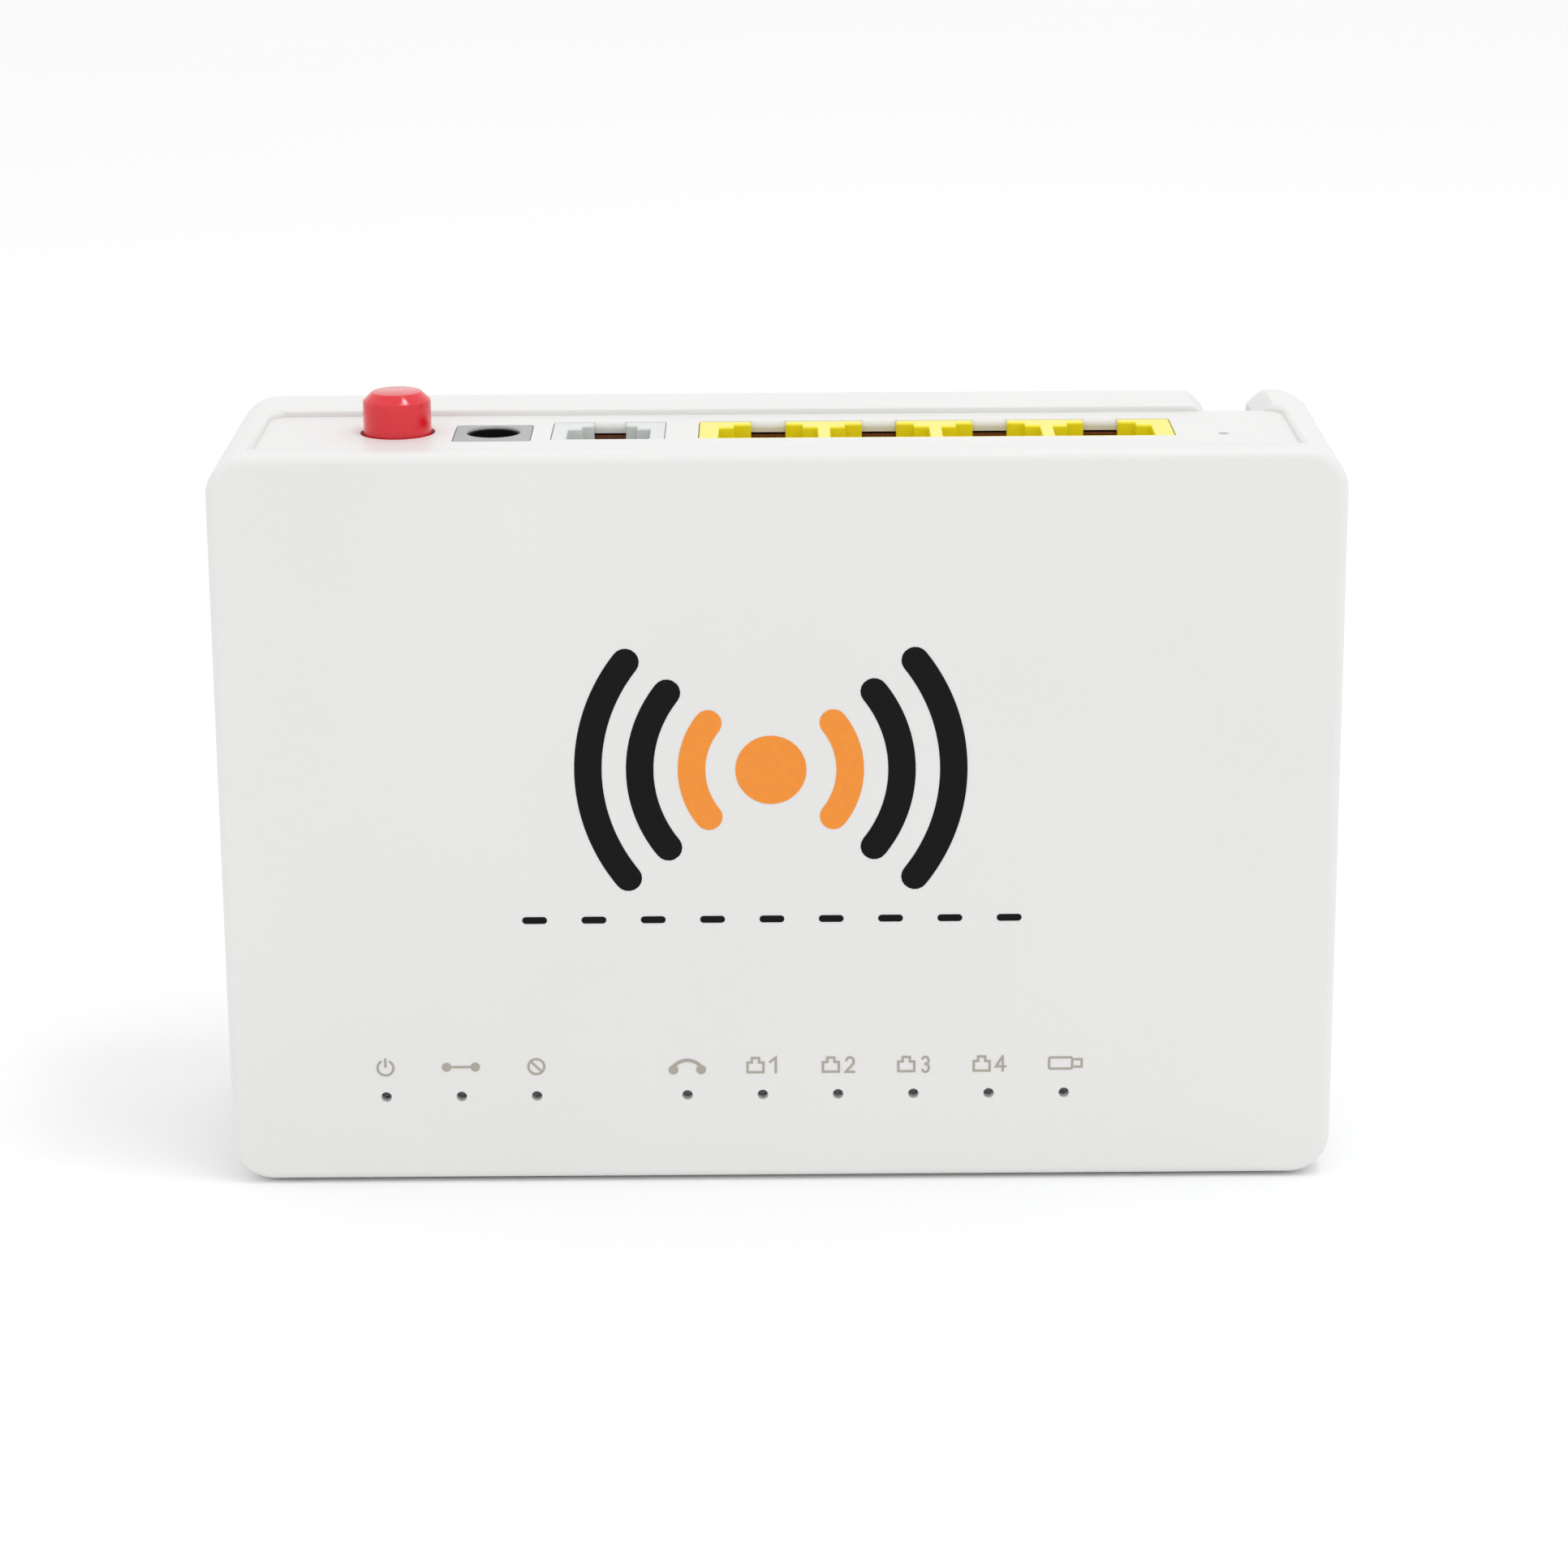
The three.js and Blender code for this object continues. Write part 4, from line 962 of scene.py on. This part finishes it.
def usb_socket():
    low, high = span("usb_shell")
    t = 0.45
    outer = rect(low.y, high.y, low.z, high.z, 0.7)
    sleeve = to_object("usb_sleeve", sweep(outer, [(low.x, -0.1), (low.x + 0.1, 0), (high.x, 0)], "X"))
    inner = rect(low.y + t, high.y - t, low.z + t, high.z - t, 0.4)
    cut(sleeve, opening(inner, high.x - t, low.x, 0.25, -1, "X"))
    mid_y, mid_z = middle("usb_shell").yz
    springs = []
    for z in (mid_z - 3.4, mid_z + 3.4):
        springs.append(cuboid(low.x + 3, low.x + 9, high.y - 0.7, high.y - 0.4, z - 0.9, z + 0.9))
    join(sleeve, joined(springs))
    place(sleeve, "enclosure", TIN, ["usb_shell"])

    tongue_lo, tongue_hi = span("usb_tongue")
    back = rect(tongue_lo.y, tongue_hi.y, tongue_lo.z, tongue_hi.z, 0.3)
    tongue = to_object("usb_insert", block(back, tongue_hi.x - 3, tongue_hi.x, 0.1, 0.1, "X"))
    blade = rect(mid_y - 0.9, mid_y + 0.9, mid_z - 5.5, mid_z + 5.5, 0.3)
    join(tongue, block(blade, tongue_lo.x, tongue_hi.x - 2, 0.25, 0.1, "X"))
    place(tongue, "enclosure", WHITE, ["usb_tongue"])
    strips = []
    for z in (-3.5, -1.0, 1.0, 3.5):
        ring = rect(mid_y + 0.88, mid_y + 1.0, mid_z + z - 0.5, mid_z + z + 0.5, 0.05)
        strips.append(block(ring, tongue_lo.x + 0.8, tongue_hi.x - 3.1, 0.03, 0.03, "X"))
    place(to_object("usb_contacts", joined(strips)), "enclosure", GOLD)


def optical_socket():
    low, high = span("optical_adapter")
    centre = middle("optical_adapter")
    x, y = centre.xy
    half_x, half_y = (high.x - low.x) / 2 - 1, (high.y - low.y) / 2
    plug_x, plug_y = 4.6, 3.8
    web_low, web_high = 26.5, 29.5
    sides = rect(x - half_x, x + half_x, y - half_y, y + half_y, 0.6)
    body = to_object("fibre_adapter", block(sides, low.z, high.z, 0.3, 0.3))
    join(body, block(rect(low.x, high.x, low.y, high.y, 0.8), 28, 31.7, 0.2, 0.2))
    plug = rect(x - plug_x, x + plug_x, y - plug_y, y + plug_y, 0.3)
    cut(
        body,
        opening(plug, web_high, high.z, 0.3),
        opening(plug, web_low, low.z, 0.3, -1),
        cuboid(x - 1.3, x + 1.3, y, high.y + 1, high.z - 7, high.z + 1),
    )
    join(body, bar(x, y, 1.95, web_low - 6, high.z - 3, "Z"))
    cut(body, bar(x, y, 1.3, web_low - 7, high.z, "Z"))
    place(body, "enclosure", GREEN, ["optical_adapter"])

    cap_lo, cap_hi = span("optical_dust_cap")
    head = rect(x - 5.4, x + 5.4, cap_lo.y, cap_hi.y, 1.2)
    cap = to_object("fibre_dust_cap", block(head, high.z + 0.2, cap_hi.z, 0.3, 0.6))
    join(cap, block(rect(x - 4.4, x + 4.4, y - 3.6, y + 3.6, 0.4), cap_lo.z, high.z + 1, 0.3, 0.1))
    grooves = []
    for up in (1.8, 3.4, 5.0):
        for side in (-1, 1):
            groove_x, z = x + side * 5.4, high.z + up
            grooves.append(cuboid(groove_x - 0.4, groove_x + 0.4, y - 6, y + 6, z, z + 0.8))
    cut(cap, joined(grooves))
    cut(cap, bar(x, y, 2.4, cap_lo.z - 1, high.z - 2, "Z"))
    place(cap, "dust_cap", BLACK, ["optical_dust_cap"])


# ---------------------------------------------------------------- carried-over CAD nodes

CARRIED = {
    "main_board": BOARD,
    "system_chip": CHIP,
    "memory_chip": CHIP,
    "flash_chip": CHIP,
    "phone_line_chip": CHIP,
    "lan_transformer_1": CHIP,
    "lan_transformer_2": CHIP,
    "power_inductor": FERRITE,
    "bulk_capacitor_1": BLACK,
    "bulk_capacitor_2": BLACK,
    "timing_crystal": TIN,
    "heat_sink": ALUMINIUM,
    "light_pipe_bar": CLEAR,
    "optical_module": GOLD,
    "power_switch_body": BLACK,
    "power_switch_plunger": WHITE,
    "reset_switch_body": BLACK,
    "reset_switch_plunger": WHITE,
    "dc_jack_spring_strip": TIN,
    "fibre_door_hinge_pin": TIN,
    "rating_label": LABEL,
}
SOFT_EDGES = {
    "heat_sink": 0.15,
    "lan_transformer_1": 0.12,
    "lan_transformer_2": 0.12,
    "system_chip": 0.15,
    "memory_chip": 0.1,
    "power_switch_body": 0.2,
    "power_switch_plunger": 0.15,
}


def carried_nodes():
    materials = {**CARRIED, **{f"light_{name}": LENS for name in LIGHTS}}
    for node, material in materials.items():
        obj = frame["nodes"][node]
        obj.data.materials.clear()
        obj.data.materials.append(material)
        if node in SOFT_EDGES:
            bevel = obj.modifiers.new("soft_edges", "BEVEL")
            bevel.width = SOFT_EDGES[node] * MM
            bevel.segments = 2
            bevel.limit_method = "ANGLE"


# ---------------------------------------------------------------- printed marks on the front


def ribbon(points, width, closed=False):
    """A flat stroke of ink along points in X and Z. Open strokes have round ends."""
    places = [Vector(p) for p in points]
    count = len(places)
    half = width / 2
    stations = []
    for i, p in enumerate(places):
        before = places[i - 1] if closed or i else p
        after = places[(i + 1) % count] if closed or i < count - 1 else p
        a, b = (p - before), (after - p)
        a = a.normalized() if a.length > 1e-9 else b.normalized()
        b = b.normalized() if b.length > 1e-9 else a
        along = (a + b).normalized()
        stretch = 1 / max(along.dot(a), 0.35)
        stations.append((p, along, half * stretch))
    if not closed:
        quarter = [math.radians(a) for a in (20, 40, 60, 78)]
        first, start, _ = stations[0]
        last, end, _ = stations[-1]
        head = [(first - start * half * math.sin(a), start, half * math.cos(a)) for a in quarter[::-1]]
        tail = [(last + end * half * math.sin(a), end, half * math.cos(a)) for a in quarter]
        stations = head + stations + tail
    left = [p + Vector((-d.y, d.x)) * w for p, d, w in stations]
    right = [p - Vector((-d.y, d.x)) * w for p, d, w in stations]
    return plate(left, right, closed)


def plate(left, right, closed):
    """A strip of ink between two lines of points, PRINT_THICK thick."""
    bm = bmesh.new()
    front_y, back_y = FACE_Y - PRINT_THICK, FACE_Y
    left_front, left_back = ([bm.verts.new((p.x, y, p.y)) for p in left] for y in (front_y, back_y))
    right_front, right_back = ([bm.verts.new((p.x, y, p.y)) for p in right] for y in (front_y, back_y))
    count = len(left)
    for i in range(count if closed else count - 1):
        j = (i + 1) % count
        bm.faces.new((left_front[i], left_front[j], right_front[j], right_front[i]))
        bm.faces.new((left_back[j], left_back[i], right_back[i], right_back[j]))
        bm.faces.new((left_front[j], left_front[i], left_back[i], left_back[j]))
        bm.faces.new((right_front[i], right_front[j], right_back[j], right_back[i]))
    if not closed:
        for i in (0, count - 1):
            bm.faces.new((left_front[i], right_front[i], right_back[i], left_back[i]))
    bmesh.ops.recalc_face_normals(bm, faces=bm.faces)
    return bm


def dot(x, z, r):
    return sweep(circle(x, z, r, 40), [(FACE_Y - PRINT_THICK, 0), (FACE_Y, 0)], "Y")


def printed(name, shapes, material):
    """Ink marks as one piece. The shapes are united, because strokes of ink may overlap."""
    first, *others = shapes
    mark = to_object(name, first)
    if others:
        join(mark, *others)
    place(mark, "enclosure", material, sharp=20)


GRAPHIC_X, GRAPHIC_Z = -1.0, 54.0
ARCS, ARC_WIDE = (9.8, 16.2, 22.6), 3.4
DASH_Z, DASH_PITCH, DASH_HALF = 34.6, 7.4, 1.1


def front_graphic():
    """A generic broadcast symbol: a dot between arcs, over a row of short dashes."""
    pairs = []
    for r in ARCS:
        pairs.append([ribbon(arc(GRAPHIC_X, GRAPHIC_Z, r, start, 76, 40), ARC_WIDE) for start in (-38, 142)])
    inner, *outer = pairs
    centre = dot(GRAPHIC_X, GRAPHIC_Z, 4.4)
    printed("front_graphic_centre", [centre, *inner], INK_ORANGE)
    printed("front_graphic_arcs", [shape for pair in outer for shape in pair], INK_BLACK)
    dashes = []
    for i in range(9):
        x = GRAPHIC_X + (i - 4) * DASH_PITCH
        dashes.append(ribbon([(x - DASH_HALF, DASH_Z), (x + DASH_HALF, DASH_Z)], 0.9))
    printed("front_graphic_dashes", dashes, INK_BLACK)


ICON_Z, ICON_HIGH, STROKE = 14.1, 2.2, 0.3
DIGITS = {
    "1": [[(-0.35, 0.72), (0.1, 1.0), (0.1, 0.0)]],
    "2": [arc(0.0, 0.7, 0.3, 165, -195, 10) + [(-0.32, 0.0), (0.34, 0.0)]],
    "3": [arc(0.0, 0.74, 0.26, 150, -240, 10), arc(0.0, 0.24, 0.28, 90, -240, 10)],
    "4": [[(0.38, 0.3), (-0.38, 0.3), (0.16, 1.0)], [(0.16, 1.0), (0.16, 0.0)]],
}


def icon(name, x):
    """The strokes of a small mark centred on x."""
    mid = ICON_Z + ICON_HIGH / 2
    top = ICON_Z + ICON_HIGH
    if name == "power":
        ring = arc(x, mid - 0.05, 1.0, 125, 290, 24)
        return [ribbon(ring, STROKE), ribbon([(x, mid + 0.1), (x, top)], STROKE)]
    if name == "pon":
        link = ribbon([(x - 1.1, mid), (x + 1.1, mid)], STROKE)
        return [dot(x - 1.8, mid, 0.6), link, dot(x + 1.8, mid, 0.6)]
    if name == "los":
        slash = ribbon([(x - 0.62, mid + 0.62), (x + 0.62, mid - 0.62)], STROKE)
        return [ribbon(arc(x, mid, 1.0, 0, 350, 32), STROKE, closed=True), slash]
    if name == "tel":
        handset = ribbon(arc(x, ICON_Z - 0.4, 2.2, 40, 100, 16), STROKE * 1.5)
        ends = [dot(x + side * 1.75, ICON_Z + 0.55, 0.62) for side in (-1, 1)]
        return [handset, *ends]
    if name == "usb":
        shell = rect(x - 1.9, x + 1.0, mid - 0.75, mid + 0.75, 0.2, 3)()
        plug = [(x + 1.3, mid - 0.5), (x + 2.2, mid - 0.5), (x + 2.2, mid + 0.5), (x + 1.3, mid + 0.5)]
        return [ribbon(shell, STROKE, closed=True), ribbon(plug, STROKE)]
    port_x = x - 0.9
    half = 1.0
    port = [
        (port_x - half, ICON_Z + 0.15),
        (port_x + half, ICON_Z + 0.15),
        (port_x + half, mid + 0.35),
        (port_x + 0.45, mid + 0.35),
        (port_x + 0.45, top - 0.15),
        (port_x - 0.45, top - 0.15),
        (port_x - 0.45, mid + 0.35),
        (port_x - half, mid + 0.35),
    ]
    wide, tall = ICON_HIGH * 0.72, ICON_HIGH - 0.25
    strokes = []
    for stroke in DIGITS[name[-1]]:
        strokes.append(ribbon([(x + 1.5 + u * wide, ICON_Z + 0.12 + v * tall) for u, v in stroke], STROKE))
    return [ribbon(port, STROKE, closed=True), *strokes]


def indicator_marks():
    for name in LIGHTS:
        printed(f"mark_{name}", icon(name, middle(f"light_{name}").x), INK_GREY)


# ---------------------------------------------------------------- stage


def floor_and_light():
    n = Nodes("studio_floor")
    tone = n.ramp(n.noise(2.0), (0.3, (0.93, 0.93, 0.93)), (0.7, (0.94, 0.94, 0.94)))
    white = n.finish(Base_Color=tone, Roughness=0.9, Specular_IOR_Level=0.1)
    bm = bmesh.new()
    bmesh.ops.create_grid(bm, x_segments=4, y_segments=4, size=6.0)
    floor = to_object("floor", bm)
    floor.data.materials.append(white)
    floor.location.z = -0.0004  # just under the bottom side, so that the two don't coincide

    world = bpy.data.worlds.new("studio")
    world.use_nodes = True
    background = world.node_tree.nodes["Background"]
    background.inputs["Color"].default_value = (1.0, 1.0, 1.0, 1.0)
    background.inputs["Strength"].default_value = 1.0
    scene = bpy.context.scene
    scene.world = world
    scene.view_settings.view_transform = "Standard"
    area_light("key", (0.35, -0.3, 1.1), 0.4, 1.7)
    area_light("glint", (0.283, -0.115, 1.14), 0.14, 0.7)


def area_light(name, position, size, power):
    """A slightly cool lamp that points at the middle of the part."""
    data = bpy.data.lights.new(name, "AREA")
    data.shape = "SQUARE"
    data.size = size
    data.energy = power
    data.color = (0.93, 0.97, 1.0)
    lamp = bpy.data.objects.new(name, data)
    bpy.context.scene.collection.objects.link(lamp)
    lamp.location = position
    target = Vector((0, 0, 0.05))
    lamp.rotation_mode = "QUATERNION"
    lamp.rotation_quaternion = (target - lamp.location).to_track_quat("-Z", "Y")


def camera():
    """In front of the middle, looking slightly down at the front face."""
    data = bpy.data.cameras.new("camera")
    data.sensor_width = 36.0
    data.lens = 94.43
    data.shift_y = -0.0776
    cam = bpy.data.objects.new("camera", data)
    bpy.context.scene.collection.objects.link(cam)
    down, turn, tilt = (math.radians(a) for a in (15.2, -0.13, -0.35))
    cam.matrix_world = (
        Matrix.Translation((-0.0004, -0.5067, 0.2))
        @ Matrix.Rotation(turn, 4, "Z")
        @ Matrix.Rotation(math.pi / 2 - down, 4, "X")
        @ Matrix.Rotation(tilt, 4, "Z")
    )
    bpy.context.scene.camera = cam


camera()
floor_and_light()
front_shell()
rear_shell()
bay_door()
feet()
screws()
push_button()
coil_spring()
power_socket()
modular_sockets()
usb_socket()
optical_socket()
carried_nodes()
front_graphic()
indicator_marks()
